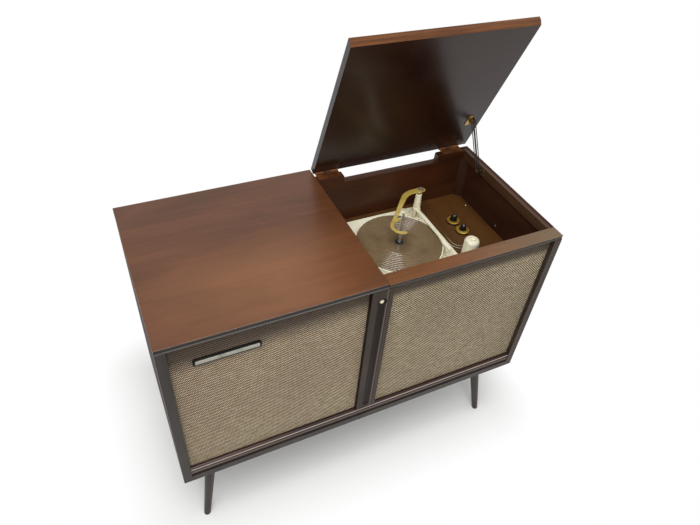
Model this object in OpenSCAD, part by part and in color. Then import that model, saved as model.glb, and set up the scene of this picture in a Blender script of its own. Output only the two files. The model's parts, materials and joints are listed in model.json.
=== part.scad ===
// A console record player: a long low cabinet on four splayed legs. The left half is closed by a
// fixed top board. The right half holds a record changer in a well under a hinged lid, which is
// shown open on its stay. Two cloth grilles with a fluted stile between them cover the speakers.
// Lengths are in mm. Inside the modules x runs right from the left outer face, y runs back from
// the front edge and z runs up from the underside of the carcass. at_floor() moves that origin so
// that z = 0 is the floor under the feet and x = y = 0 is the middle of the cabinet.

/* [Carcass] */
// Outer width of the cabinet
body_w = 914; // [890:2:980]
// Depth of the sides and the bottom
carcass_d = 400; // [392:2:420]
// Height of the carcass under its top boards
carcass_h = 461.7; // [455:0.1:500]
// Thickness of the plywood sides
side_t = 9; // [8:0.5:10]
// Width of the solid front posts
post_w = 19.8; // [18:0.2:24]
// Depth of the solid front posts
post_d = 20; // [16:1:24]
// Thickness of the bottom board
bottom_t = 18.6; // [15:0.1:22]
// Thickness of the divider between the two halves
divider_t = 19; // [16:1:22]
// Thickness of the perforated back
back_t = 4.8; // [3:0.2:7]

/* [Fixed top] */
// Thickness of the fixed top board
top_t = 14.5; // [13:0.5:20]
// Depth of the fixed top board, which overhangs the back
top_d = 426; // [424:1:440]
// Depth of the groove in the front edges
edge_groove = 2.4; // [0:0.2:4]

/* [Well] */
// Height of the rim over the carcass, and thickness of the front rail
rim_t = 10.3; // [8:0.1:12]
// Width of the front rail
front_rail_w = 34; // [28:1:40]
// Width of the right rim seen from above
side_rim_w = 19; // [16:1:24]
// Height of the right rail
side_rail_h = 25; // [20:1:32]
// Thickness of the rear board of the well
rear_board_t = 19; // [16:1:22]
// Left end of the notch in the rear board, from the split
notch_from = 74.5; // [70:0.5:90]
// Right end of the notch in the rear board, from the right rim
notch_to = 83; // [80:1:100]
// Depth of the notch in the rear board
notch_h = 20; // [12:1:26]
// Depth of the well from the fixed top to the motor board
well_depth = 146.2; // [140:0.2:150]
// Thickness of the motor board
board_t = 12; // [9:1:15]
// Width of the bevelled batten in the rear right corner
corner_w = 17; // [12:1:20]

/* [Lid] */
// Thickness of the lid
lid_t = 16.1; // [14:0.1:20]
// Distance from the hinge axis to the front of the lid's underside
lid_reach = 408; // [404:1:420]
// How far the lid's front edge leans out over its underside
lid_lean = 8.4; // [4:0.2:10]
// Gap beside the fixed top
lid_gap = 1.8; // [1:0.2:3]
// Angle of the open lid from closed, held by the stay
lid_open = 68.3; // [60:0.1:72]
// Height of the closed lid over the rim
rest_gap = 0.3; // [0.2:0.1:0.6]
// Distance of the hinge axis behind the carcass
hinge_back = 9.6; // [8:0.2:11]
// Width of a hinge
hinge_w = 60; // [50:2:60]
// Radius of a hinge's barrel
barrel_r = 3; // [2.6:0.1:3.4]
// Thickness of a hinge leaf
leaf_t = 1.1; // [0.8:0.1:1.4]
// Radius of the hinge and stay pins
pin_r = 1.3; // [1.1:0.1:1.5]
// Radial clearance of a running pin
run = 0.05; // [0.03:0.01:0.08]

/* [Lid stay] */
// Distance of both stay pivots from the hinge axis
stay_r = 108; // [100:1:108]
// Drop of the lid pivot under the lid
stay_drop = 5; // [4.8:0.1:5.4]
// Angle between the two pivots when the lid is closed
stay_closed = 3.6; // [3.6:0.1:4]
// Width of a slotted bar
stay_w = 9; // [8:0.2:9.4]
// Thickness of a slotted bar
stay_t = 1.6; // [1.2:0.2:2]
// Distance of the outer bar from the right rail
stay_off = 6.4; // [6:0.2:8]
// Gap between the stay's two slotted bars
stay_gap = 5.6; // [5:0.2:6]

/* [Front] */
// Distance of the grille cloth behind the front edge
cloth_in = 11; // [9:0.5:14]
// Thickness of the grille cloth
cloth_t = 1.2; // [0.8:0.2:2]
// Thickness of the speaker boards
baffle_t = 13; // [10:1:16]
// Width of the fluted stile
stile_w = 50.5; // [44:0.5:60]
// Width of the flute
flute_w = 17; // [12:0.5:22]
// Depth of the flute
flute_d = 4.5; // [3:0.5:6]
// Pilot lamp under the top of the carcass
lamp_down = 33.7; // [26:0.1:60]
// Radius of the pilot lamp's hole
lamp_r = 11.2; // [9:0.2:13]
// Height of the reeded moulding
mould_h = 27.9; // [24:0.1:34]
// Radius of the two reeds
reed_r = 6.2; // [5:0.1:7]
// Width of the plain nameplate
plate_w = 128; // [100:2:150]
// Height of the plain nameplate
plate_h = 12; // [10:1:20]
// Border of the nameplate's frame
plate_border = 3; // [2:0.5:6]
// Left end of the nameplate from the cabinet's side
plate_x = 66; // [50:1:120]
// Middle of the nameplate under the top of the carcass
plate_down = 58.7; // [40:0.1:100]

/* [Legs] */
// Height of the carcass over the floor
leg_h = 236; // [200:2:260]
// Radius of a leg at the foot
foot_r = 8.5; // [7:0.5:11]
// Radius of a leg at its top
leg_r = 14.5; // [12:0.5:18]
// Foot from the cabinet's side
foot_x = 38.5; // [30:0.5:60]
// Foot from the carcass's front or back
foot_y = 29; // [24:0.5:50]
// Outward splay along the width
splay_x = 39.5; // [20:0.5:50]
// Outward splay along the depth
splay_y = 34; // [20:0.5:45]
// Thickness of a leg plate
leg_plate_t = 3; // [2:0.5:5]

/* [Record changer] */
// Width of the deck plate
deck_w = 282; // [276:1:284]
// Depth of the deck plate
deck_d = 288; // [280:1:296]
// Deck plate from the left face of the well
deck_gap = 5.5; // [4:0.5:7]
// Rear edge of the deck plate from the rear board
deck_back = 27; // [22:1:32]
// Height of the deck plate's top over the motor board
deck_rise = 12; // [10:0.5:15]
// Thickness of the pressed deck plate
deck_t = 2; // [1.5:0.5:3]
// Spindle from the right edge of the deck
spindle_x = 135; // [132:1:140]
// Spindle from the rear edge of the deck
spindle_y = 141; // [138:1:146]
// Radius of the spindle
spindle_r = 3.6; // [3.4:0.1:3.6]
// Height of the spindle over the mat
spindle_h = 88; // [80:1:92]
// Radius of the platter
platter_r = 109.5; // [104:0.5:111]
// Height of the mat's top over the deck
mat_rise = 26; // [24:0.5:28]
// Thickness of the platter mat
mat_t = 2; // [1.5:0.5:3]
// Overarm post from the deck's right edge
post_in = 24; // [22:1:26]
// Overarm post from the deck's rear edge
post_back = 33; // [30:1:36]
// Height of the overarm post over the deck
arm_post_h = 71; // [66:1:74]
// Width of the overarm at its root
overarm_w1 = 19; // [17:1:24]
// Width of the overarm at its hook
overarm_w2 = 9.5; // [8:0.5:11]
// Thickness of the overarm
overarm_t = 4.4; // [3:0.2:6]
// Radius of the idler wheel
idler_r = 18; // [15:0.5:20]
// Radius of the motor pulley
pulley_r = 5.2; // [4:0.1:6]
// Distance of the tone arm's pivot to the left of the overarm post
tone_x = 12; // [11:1:14]
// Distance of the tone arm's pivot in front of the overarm post
tone_y = 18; // [17:1:20]
// Length of the tone arm past the spindle's distance from its pivot
tone_reach = 26; // [22:1:30]
// Width of the tone arm
tone_w = 9; // [7:0.5:9]
// Width of the tone arm's head
head_w = 16; // [13:0.5:17]

/* [Controls] */
// Width of the control strip, from the deck plate to the right outer face
control_w = 162; // [160:1:180]
// First knob from the right outer face
knob_x = 92; // [86:1:100]
// First knob from the front edge
knob_y = 231; // [215:1:240]
// Distance between the knobs
knob_pitch = 43; // [38:1:50]
// Radius of a knob's gold skirt
skirt_r = 18; // [15:0.5:19.5]
// Radius of a knob's black grip
grip_r = 10; // [8:0.5:11]
// Height of a knob's grip over its skirt
grip_h = 13; // [9:0.5:15]
// Adapter from the right outer face
adapter_x = 134; // [126:1:136]
// Adapter from the front edge
adapter_y = 140; // [110:1:146]
// Radius of the adapter's barrel
adapter_r = 19; // [18:0.1:19]
// Height of the adapter
adapter_h = 61; // [56:1:68]

/* [Sound] */
// Outer radius of the woofers
woofer_r = 98; // [85:1:102]
// Depth of the woofers behind their boards
woofer_d = 82; // [70:1:95]
// Outer radius of the tweeters
tweeter_r = 40; // [34:1:44]
// Length of the amplifier chassis
amp_w = 250; // [220:2:260]
// Depth of the amplifier chassis
amp_d = 120; // [100:2:130]
// Height of the amplifier chassis
amp_h = 42; // [36:1:50]
// Distance between the valves
valve_pitch = 35; // [28:1:36]
// Radius of a valve
valve_r = 10; // [8:0.5:11]
// Height of a valve over its socket
valve_h = 48; // [36:1:60]
// Width of the mains transformer
mains_w = 66; // [54:1:70]
// Width of an output transformer
output_w = 40; // [32:1:44]

/* [Hidden] */
$fn = 64;
tiny = 0.3;

// Widths
split_x = body_w - control_w - deck_w - deck_gap;

// Heights
rim_top = carcass_h + rim_t;
top_z = carcass_h + top_t;
board_z = top_z - well_depth;
deck_z = board_z + deck_rise;
mat_z = deck_z + mat_rise;

// Boards
inner_l = side_t;
inner_r = body_w - side_t;
divider_x = split_x - divider_t;
well_r = body_w - side_rim_w;
rear_y = carcass_d - rear_board_t;
back_y = carcass_d - back_t;
baffle_y = cloth_in + cloth_t + tiny;
baffle_back = baffle_y + baffle_t;
rear_board_z = board_z - board_t - 13;
cleat = 13;
board_low = board_z - board_t - 18;

// Front
stile_x = split_x - divider_t / 2 - stile_w / 2 - 2.5;
stile_mid = stile_x + stile_w / 2;
mould_z = bottom_t + mould_h;
trim_back = cloth_in - tiny;
lamp_z = carcass_h - lamp_down;
plate_z = carcass_h - plate_down;

// Lid and hinges
axis_y = carcass_d + hinge_back;
axis_z = rim_top + rest_gap;
lid_x = split_x + lid_gap;
hinge_xs = [split_x + 7.5, well_r - 5 - hinge_w];
leaf_reach = 26;

// Stay: both pivots lie stay_r from the hinge axis, so the bar turns half as far as the lid
lid_pivot = asin(stay_drop / stay_r);
wall_pivot = lid_pivot + stay_closed;
slot_in = 2 * stay_r * sin(stay_closed / 2);
slot_out = 2 * stay_r * sin((lid_open + stay_closed) / 2);
stay_x = well_r - stay_off;
stay_pin_r = 1.9;
bar_lean = (lid_open - lid_pivot - wall_pivot) / 2;

// Record changer
deck_x = split_x + deck_gap;
deck_y = rear_y - deck_back - deck_d;
spin = [deck_x + deck_w - spindle_x, deck_y + deck_d - spindle_y];
arm_post = [deck_x + deck_w - post_in, deck_y + deck_d - post_back];
platter_z = deck_z + 7;
platter_top = mat_z - mat_t;
rim_in = platter_r - 6.5;
arm_z = deck_z + arm_post_h + 1.8;
idler = spin + (rim_in - idler_r - tiny) * [cos(200), sin(200)];
pulley = idler + (idler_r + pulley_r + tiny) * [cos(75), sin(75)];
motor_r = 36;
rod_r = 4;

// Controls
knob_1 = [body_w - knob_x + 1, knob_y];
knob_2 = [body_w - knob_x - 1, knob_y + knob_pitch];
adapter = [body_w - adapter_x, adapter_y];

module at_floor() {
    translate([-body_w / 2, -top_d / 2, leg_h]) children();
}

// A box between two opposite corners
module block(low, high) {
    translate(low) cube(high - low);
}

// A flat rectangle with round corners
module round_rect(w, d, r) {
    translate([r, 0]) square([w - 2 * r, d]);
    translate([0, r]) square([w, d - 2 * r]);
    for (x = [r, w - r], y = [r, d - r]) translate([x, y]) circle(r);
}

// Turns a shape that stands on z = 0 so that its axis runs back along y
module facing_back() {
    rotate([-90, 0, 0]) children();
}

// A shape drawn in the plane of x and z, given a depth back from y
module board_xz(y, t) {
    translate([0, y + t, 0]) rotate([90, 0, 0]) linear_extrude(t) children();
}

// A shape drawn in the plane of y and z, given a length along x
module strip_x(x, w) {
    translate([x, 0, 0]) rotate([90, 0, 90]) linear_extrude(w) children();
}

// Front edge of a board with a shallow groove, seen from the side
module edge_profile(d, t) {
    polygon([[0, t], [edge_groove, t * 0.55], [edge_groove * 0.4, 0], [d, 0], [d, t]]);
}

// ---- Carcass ----

module left_top() color("saddlebrown") at_floor() {
    translate([0, 0, carcass_h]) strip_x(0, split_x) edge_profile(top_d, top_t);
}

module left_side_panel() color("#4a2a1c") at_floor() {
    block([0, post_d, 0], [side_t, carcass_d, carcass_h]);
}

module right_side_panel() color("#4a2a1c") at_floor() difference() {
    block([inner_r, post_d, 0], [body_w, carcass_d, rim_top]);
    block([inner_r - 1, post_d - 1, carcass_h], [body_w + 1, front_rail_w, rim_top + 1]);
}

module front_post(x) {
    block([x, 0, 0], [x + post_w, post_d, carcass_h]);
}

module front_posts() color("#4c4640") at_floor() {
    front_post(0);
    front_post(body_w - post_w);
}

module bottom_panel() color("#504a44") at_floor() difference() {
    linear_extrude(bottom_t) difference() {
        translate([inner_l, 0]) square([inner_r - inner_l, carcass_d]);
        square([post_w, post_d]);
        translate([body_w - post_w, 0]) square([post_w, post_d]);
    }
    each_leg() leg_bolt(run);
}

module centre_divider() color("#4a2a1c") at_floor() {
    block([divider_x, cloth_in, bottom_t], [split_x, back_y, carcass_h]);
}

module well_front_rail() color("#985f3c") at_floor() {
    translate([0, 0, carcass_h]) strip_x(split_x, body_w - split_x) edge_profile(front_rail_w, rim_t);
}

module well_side_rail() color("#8c7058") at_floor() {
    block([well_r, front_rail_w, rim_top - side_rail_h], [inner_r, rear_y, rim_top]);
}

module notch() {
    r = 5;
    notch_w = well_r - notch_to - split_x - notch_from;
    translate([split_x + notch_from, rim_top - notch_h]) {
        round_rect(notch_w, notch_h + 2 * r, r);
        translate([-r, notch_h - r]) difference() {
            square([notch_w + 2 * r, 2 * r]);
            circle(r);
            translate([notch_w + 2 * r, 0]) circle(r);
        }
    }
}

module well_rear_board() color("#5a3322") at_floor() difference() {
    board_xz(rear_y, rear_board_t) difference() {
        translate([split_x, rear_board_z]) square([inner_r - split_x, rim_top - rear_board_z]);
        notch();
    }
    for (x = hinge_xs)
        block([x, axis_y - leaf_reach, rim_top - leaf_t], [x + hinge_w, carcass_d + 1, rim_top + 1]);
}

// Glued battens: under the fixed top, under the motor board, along the back's edges, and the
// bevelled one in the rear right corner of the well
module battens() color("#3c2216") at_floor() {
    batten = 20;
    rear = back_y - batten;
    for (x = [inner_l, divider_x - batten])
        block([x, baffle_back + 1, carcass_h - batten], [x + batten, rear - 1, carcass_h]);
    block([inner_l, rear, carcass_h - batten], [divider_x, back_y, carcass_h]);
    high = board_z - board_t;
    for (x = [split_x, inner_r - cleat])
        block([x, baffle_back + cleat + 1, board_low], [x + cleat, rear_y - 1, high]);
    block([split_x, baffle_back, board_low], [inner_r, baffle_back + cleat, high]);
    for (x = [inner_l, inner_r - cleat])
        block([x, back_y - cleat, bottom_t], [x + cleat, back_y, rear_board_z - cleat - 1]);
    block([split_x, back_y - cleat, rear_board_z - cleat], [inner_r, back_y, rear_board_z]);
    translate([0, 0, board_z]) linear_extrude(rim_top - side_rail_h - board_z)
        polygon([[inner_r, rear_y], [inner_r - corner_w - 1, rear_y], [inner_r, rear_y - corner_w]]);
}

// Middle of each screw in the back
function screw_places() = [
    for (x = [inner_l + 7, divider_x / 2, inner_r - 7], z = [bottom_t + 40, rear_board_z - 60]) [x, z],
    for (x = [split_x + 70, inner_r - 90]) [x, rear_board_z - 7],
    for (x = [inner_l + 60, divider_x - 60]) [x, carcass_h - 10]
];

module back_panel() color("#8a6a44") at_floor() board_xz(back_y, back_t) difference() {
    polygon([
        [inner_l + tiny, bottom_t + tiny], [inner_r - tiny, bottom_t + tiny],
        [inner_r - tiny, rear_board_z - tiny], [split_x - tiny, rear_board_z - tiny],
        [split_x - tiny, carcass_h - tiny], [inner_l + tiny, carcass_h - tiny]
    ]);
    for (p = screw_places()) translate(p) circle(2.1);
    for (i = [0 : 11], z = [110, 132, 154])
        translate([split_x + 80 + 26 * i, z]) round_rect(18, 6, 2.9);
    for (i = [0 : 7], z = [230, 252, 274])
        translate([inner_l + 110 + 26 * i, z]) round_rect(18, 6, 2.9);
    translate([inner_r - 60, bottom_t + 40]) circle(7);
}

module back_panel_screws() color("silver") at_floor() {
    for (p = screw_places()) translate([p.x, back_y, p.y]) facing_back() {
        cylinder(h = back_t, r = 2);
        translate([0, 0, back_t]) cylinder(h = 1.8, r1 = 4, r2 = 2.6);
    }
}

module cord_grommet() color("#202020") at_floor() {
    translate([inner_r - 60, back_y - 3, bottom_t + 40]) facing_back() rotate_extrude() difference() {
        translate([3.6, 0]) square([6, back_t + 6]);
        translate([6.9, 3 - run]) square([4, back_t + 2 * run]);
    }
}

// ---- Front ----

module centre_stile() color("#5a463c") at_floor() difference() {
    block([stile_x, 0, mould_z], [stile_x + stile_w, trim_back, carcass_h]);
    flute_r = (flute_w * flute_w / 4 + flute_d * flute_d) / (2 * flute_d);
    translate([stile_mid, flute_d - flute_r, mould_z + flute_w]) {
        cylinder(h = lamp_z - mould_z - flute_w, r = flute_r);
        sphere(flute_r);
    }
    translate([stile_mid, -1, lamp_z]) facing_back() cylinder(h = trim_back + 2, r = lamp_r);
}

module pilot_lamp_holder() color("#1c1a18") at_floor() {
    translate([stile_mid, 1.5, lamp_z]) facing_back() rotate_extrude()
        polygon([[7, 0], [lamp_r, 0], [lamp_r, trim_back - 1.5], [3, trim_back - 1.5], [3, 6], [7, 6]]);
}

module pilot_jewel() color("#f4e8b0") at_floor() {
    translate([stile_mid, 0.9, lamp_z]) facing_back() {
        cylinder(h = 2, r1 = 4.6, r2 = 6.9);
        translate([0, 0, 2]) cylinder(h = 4.4, r = 6.9);
    }
}

module bottom_moulding() color("#3a2420") at_floor() {
    set_in = 1.4;
    strip_x(post_w, body_w - 2 * post_w) intersection() {
        translate([0, bottom_t]) square([trim_back, mould_h]);
        union() {
            translate([reed_r + set_in, bottom_t]) square([trim_back, mould_h]);
            for (k = [0, 1])
                translate([reed_r + set_in, mould_z - reed_r - k * (2 * reed_r + 0.8)]) circle(reed_r);
        }
    }
}

// A rosette of seven round holes in front of a speaker
module rosette(r) {
    circle(r);
    for (a = [0 : 60 : 359]) translate(2.25 * r * [cos(a), sin(a)]) circle(r);
}

left_woofer = [(post_w + divider_x) / 2 - 20, (bottom_t + carcass_h) / 2 - 15];
right_woofer = [(split_x + body_w - post_w) / 2, bottom_t + woofer_r + 40];
left_tweeter = [divider_x - tweeter_r - 22, carcass_h - tweeter_r - 35];
right_tweeter = [body_w - post_w - tweeter_r - 22, board_low - tweeter_r - 20];
woofers = [left_woofer, right_woofer];
tweeter_places = [left_tweeter, right_tweeter];

module baffle(x1, x2, woofer, tweeter) {
    board_xz(baffle_y, baffle_t) difference() {
        translate([x1, bottom_t]) square([x2 - x1, carcass_h - bottom_t]);
        translate(woofer) rosette(woofer_r * 0.27);
        translate(tweeter) circle(tweeter_r - 12);
    }
}

module left_baffle() color("#2a221c") at_floor() {
    difference() {
        baffle(inner_l, divider_x, left_woofer, left_tweeter);
        block([0, 0, 0], [post_w, post_d, carcass_h]);
    }
}

module right_baffle() color("#2a221c") at_floor() {
    difference() {
        baffle(split_x, inner_r, right_woofer, right_tweeter);
        block([body_w - post_w, 0, 0], [body_w, post_d, carcass_h]);
    }
}

module grille_cloth(x1, x2) {
    block([x1 + tiny, cloth_in, bottom_t + tiny], [x2 - tiny, cloth_in + cloth_t, carcass_h - tiny]);
}

module left_grille_cloth() color("#a89878") at_floor() grille_cloth(post_w, divider_x);

module right_grille_cloth() color("#a89878") at_floor() grille_cloth(split_x, body_w - post_w);

module nameplate_frame() color("#1c1a18") at_floor() {
    board_xz(trim_back - 4, 4) translate([plate_x - plate_border, plate_z - plate_h / 2 - plate_border])
        round_rect(plate_w + 2 * plate_border, plate_h + 2 * plate_border, plate_border + 2.5);
}

module nameplate_bar() color("#b8b8b4") at_floor() {
    board_xz(trim_back - 6, 2) translate([plate_x, plate_z - plate_h / 2])
        round_rect(plate_w, plate_h, 3);
}

// ---- Legs ----

module each_leg() {
    for (x = [0, 1], y = [0, 1])
        translate([x * body_w, y * carcass_d, 0]) mirror([x, 0, 0]) mirror([0, y, 0]) children();
}

// Lays a shape that stands on z = 0 along the leg's axis, from the carcass down to the foot
module down_leg() {
    run_out = norm([splay_x, splay_y]);
    translate([foot_x + splay_x, foot_y + splay_y, 0])
        rotate([0, 180 - atan2(run_out, leg_h), atan2(splay_y, splay_x) + 180])
            children();
}

module leg_bolt(extra) {
    down_leg() translate([0, 0, -12]) cylinder(h = 52, r = 4 + extra);
}

module leg_plates() color("#8a8a86") at_floor() each_leg() {
    half = 34;
    translate([foot_x + splay_x - half, foot_y + splay_y - half, -leg_plate_t]) difference() {
        linear_extrude(leg_plate_t) round_rect(2 * half, 2 * half, 8);
        for (x = [9, 2 * half - 9], y = [9, 2 * half - 9])
            translate([x, y, -1]) cylinder(h = leg_plate_t + 2, r = 2.5);
    }
    leg_bolt(0);
}

module leg() {
    length = norm([splay_x, splay_y, leg_h]);
    taper = (leg_r - foot_r) / length;
    difference() {
        intersection() {
            down_leg() translate([0, 0, -20])
                cylinder(h = length + 40, r1 = leg_r + 20 * taper, r2 = foot_r - 20 * taper);
            block([-50, -50, -leg_h], [200, 200, -leg_plate_t]);
        }
        leg_bolt(run);
    }
}

module legs() color("#3c342e") at_floor() each_leg() {
    leg();
}

// ---- Inside ----

module woofer_frames() color("#3a3a3a") at_floor() {
    for (p = woofers) translate([p.x, baffle_back, p.y]) facing_back() rotate_extrude() polygon([
        [woofer_r - 16, 0], [woofer_r, 0], [woofer_r, 4], [woofer_r - 10, 4], [44, woofer_d - 34],
        [44, woofer_d], [0, woofer_d], [0, woofer_d - 30], [38, woofer_d - 34], [woofer_r - 16, 6]
    ]);
}

module woofer_cones() color("#1e1e1e") at_floor() {
    for (p = woofers) translate([p.x, baffle_back, p.y]) facing_back() rotate_extrude() polygon([
        [woofer_r - 16.3, 1], [woofer_r - 16.3, 3], [30, woofer_d - 37], [18, woofer_d - 37],
        [0, woofer_d - 40], [0, woofer_d - 44], [16, woofer_d - 41], [26, woofer_d - 41],
        [woofer_r - 20, 1]
    ]);
}

module tweeters() color("#3a3a3a") at_floor() {
    for (p = tweeter_places) translate([p.x, baffle_back, p.y]) facing_back() {
        cylinder(h = 3, r = tweeter_r);
        translate([0, 0, 3]) cylinder(h = 20, r1 = tweeter_r - 10, r2 = 18);
        translate([0, 0, 23]) cylinder(h = 14, r = 22);
    }
}

amp = [inner_r - 30 - amp_w, back_y - 30 - amp_d];
amp_top = bottom_t + amp_h;

module amplifier_chassis() color("#9a9a96") at_floor() difference() {
    block([amp.x, amp.y, bottom_t], [amp.x + amp_w, amp.y + amp_d, amp_top]);
    block([amp.x + 1.5, amp.y + 1.5, bottom_t - 1], [amp.x + amp_w - 1.5, amp.y + amp_d - 1.5, amp_top - 1.5]);
}

// An iron core of width w with its winding round the middle
module transformer(at, w) {
    core = 0.34 * w;
    tall = 0.88 * w;
    translate([at.x, at.y, amp_top]) {
        translate([-w / 2, -core / 2, 0]) cube([w, core, tall]);
        translate([-0.32 * w, -0.42 * w, 0.18 * tall]) cube([0.64 * w, 0.84 * w, 0.64 * tall]);
    }
}

module transformers() color("#46423e") at_floor() {
    transformer([amp.x + 9 + mains_w / 2, amp.y + amp_d / 2], mains_w);
    for (y = [0.25, 0.75]) transformer([amp.x + 19 + mains_w + output_w / 2, amp.y + amp_d * y], output_w);
}

module valves() color("#c8d0d0") at_floor() {
    for (i = [0 : 2], y = [0.28, 0.72])
        translate([amp.x + amp_w - valve_pitch * (i + 1), amp.y + amp_d * y, amp_top]) {
            cylinder(h = 8, r = valve_r + 2);
            translate([0, 0, 8]) cylinder(h = valve_h - 8, r = valve_r);
            translate([0, 0, valve_h]) cylinder(h = 8, r1 = valve_r, r2 = 2);
        }
}

module motor_board() color("#5a3a1c") at_floor() difference() {
    block([split_x + tiny, baffle_back + tiny, board_z - board_t], [inner_r - tiny, rear_y - tiny, board_z]);
    translate([pulley.x, pulley.y, board_z - board_t - 1]) cylinder(h = board_t + 2, r = motor_r + 4);
    translate([spin.x, spin.y, board_z - board_t - 1]) cylinder(h = board_t + 2, r = 24);
    for (p = [knob_1, knob_2]) translate([p.x, p.y, board_z - board_t - 1]) cylinder(h = board_t + 2, r = 4.8);
    translate([adapter.x, adapter.y, board_z - board_t - 1]) cylinder(h = board_t + 2, r = 3 + run);
}

// ---- Controls ----

// A thin line in the shape of a rounded frame
module frame_line(at, size, near_r, far_r, w) {
    translate([at.x, at.y, board_z]) linear_extrude(0.3) difference() {
        frame_shape(size, near_r, far_r);
        translate([w, w]) frame_shape(size - [2 * w, 2 * w], near_r - w, far_r - w);
    }
}

// A rectangle whose front corners are rounder than its rear ones
module frame_shape(size, near_r, far_r) {
    hull() for (side = [0, 1]) translate([side * size.x, 0]) mirror([side, 0, 0]) {
        translate([near_r, near_r]) circle(near_r);
        translate([far_r, size.y - far_r]) circle(far_r);
    }
}

module control_inlay() color("#d8c8a0") at_floor() {
    line = 1;
    pitch = 9;
    size = [99, knob_pitch + 110];
    at = [knob_1.x - 53, knob_1.y - 53];
    frame_line(at, size, 28, 15, line);
    frame_line(at - [pitch, pitch], size + [2 * pitch, 2 * pitch], 28 + pitch, 15 + pitch, line);
}

module control(at) {
    translate([at.x, at.y, board_z]) {
        difference() {
            union() {
                translate([0, 0, -board_t - 12]) cylinder(h = 12, r = 12);
                translate([0, 0, -board_t]) cylinder(h = board_t + 3, r = 4.75);
                cylinder(h = 2, r = 7, $fn = 6);
            }
            translate([0, 0, -board_t - 9]) cylinder(h = board_t + 20, r = 3 + run);
        }
    }
}

module controls() color("#8a8a86") at_floor() {
    control(knob_1);
    control(knob_2);
}

skirt_z = board_z + 4.6;

// A grip that narrows towards its top, on a base that stands out a little under the gold skirt
module knob(at) {
    top_r = 0.66 * grip_r;
    lean = atan((grip_r - top_r) / grip_h);
    translate([at.x, at.y, 0]) difference() {
        union() {
            translate([0, 0, board_z + tiny]) cylinder(h = 4.6 - tiny, r = skirt_r + 0.5);
            translate([0, 0, skirt_z]) cylinder(h = 1.8, r = grip_r);
            translate([0, 0, skirt_z + 1.8]) cylinder(h = grip_h, r1 = grip_r, r2 = top_r);
            translate([0, 0, skirt_z + 1.8 + grip_h]) cylinder(h = 1.2, r1 = top_r, r2 = top_r - 1.2);
        }
        translate([0, 0, board_z - 1]) cylinder(h = 4.3, r = 7.4);
        for (a = [0 : 24 : 359]) rotate(a) translate([grip_r + 0.4, 0, skirt_z + 1.8])
            rotate([0, -lean, 0]) cylinder(h = grip_h + 6, r = 0.9);
    }
    translate([at.x, at.y, board_z - board_t - 8.7]) cylinder(h = board_t + 16, r = 3);
}

module skirt(at) {
    translate([at.x, at.y, skirt_z]) rotate_extrude()
        polygon([[grip_r, 0], [skirt_r, 0], [skirt_r, 0.6], [skirt_r - 3, 1.8], [grip_r, 1.8]]);
}

module volume_knob() color("#151515") at_floor() knob(knob_1);

module volume_skirt() color("#cdb55a") at_floor() skirt(knob_1);

module tone_knob() color("#151515") at_floor() knob(knob_2);

module tone_skirt() color("#cdb55a") at_floor() skirt(knob_2);

module adapter_peg() color("silver") at_floor() {
    translate([adapter.x, adapter.y, board_z - board_t]) {
        cylinder(h = board_t + 34, r = 3);
        translate([0, 0, -2]) cylinder(h = 2, r = 6);
    }
}

// A barrel with a round shoulder, a low ring on top and a flat down its left side
module record_adapter() color("#f4f0dc") at_floor() {
    neck = 0.5 * adapter_r;
    shoulder = adapter_r - neck;
    low = adapter_h - shoulder - 2.5;
    translate([adapter.x, adapter.y, board_z + tiny]) difference() {
        intersection() {
            rotate_extrude() union() {
                square([adapter_r, low]);
                translate([0, low]) square([neck, shoulder]);
                translate([neck, low]) intersection() {
                    circle(shoulder);
                    square(shoulder);
                }
                square([neck - 0.6, adapter_h]);
            }
            translate([-0.9 * adapter_r, -adapter_r - 1, -1]) cube([3 * adapter_r, 2 * adapter_r + 2, adapter_h + 2]);
        }
        translate([0, 0, -1]) cylinder(h = 46, r = 3 + run);
        translate([0, 0, adapter_h - 6]) cylinder(h = 7, r = neck - 3);
    }
}

// ---- Record changer ----

module deck_outline(inset) {
    translate([deck_x + inset, deck_y + inset]) round_rect(deck_w - 2 * inset, deck_d - 2 * inset, 13 - inset);
}

module deck_plate() color("#fbf7e4") at_floor() difference() {
    translate([0, 0, board_z + 3]) linear_extrude(deck_rise - 3) deck_outline(0);
    translate([0, 0, board_z + 2]) linear_extrude(deck_rise - 2 - deck_t) deck_outline(deck_t);
    translate([spin.x, spin.y, board_z]) cylinder(h = 30, r = spindle_r + run);
    translate([pulley.x, pulley.y, board_z]) cylinder(h = 30, r = pulley_r + 3);
    translate([idler.x, idler.y, board_z]) cylinder(h = 30, r = 2 + run);
}

module deck_mounts() color("#202020") at_floor() {
    for (x = [22, deck_w - 22], y = [22, deck_d - 22])
        translate([deck_x + x, deck_y + y, board_z]) rotate_extrude() difference() {
            square([9, deck_rise - deck_t]);
            translate([9, (deck_rise - deck_t) / 2]) circle(2.5);
        }
}

module drive_motor() color("#5c5c58") at_floor() {
    translate([pulley.x, pulley.y, 0]) difference() {
        union() {
            translate([0, 0, deck_z - deck_t - 62]) cylinder(h = 56, r = motor_r);
            for (a = [30 : 120 : 359]) rotate(a) translate([motor_r - 6, 0, deck_z - deck_t - 6]) cylinder(h = 6, r = 4);
        }
        translate([0, 0, deck_z - deck_t - 40]) cylinder(h = 60, r = 2.5 + run);
    }
}

module motor_pulley() color("#c8a850") at_floor() {
    translate([pulley.x, pulley.y, 0]) {
        translate([0, 0, deck_z - deck_t - 39]) cylinder(h = 39 + deck_t + 8, r = 2.5);
        translate([0, 0, deck_z + 7]) cylinder(h = 6, r = pulley_r);
        translate([0, 0, deck_z + 13]) cylinder(h = 3, r = pulley_r * 0.6);
        translate([0, 0, deck_z + 16]) cylinder(h = 3, r = pulley_r * 0.45);
    }
}

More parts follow.
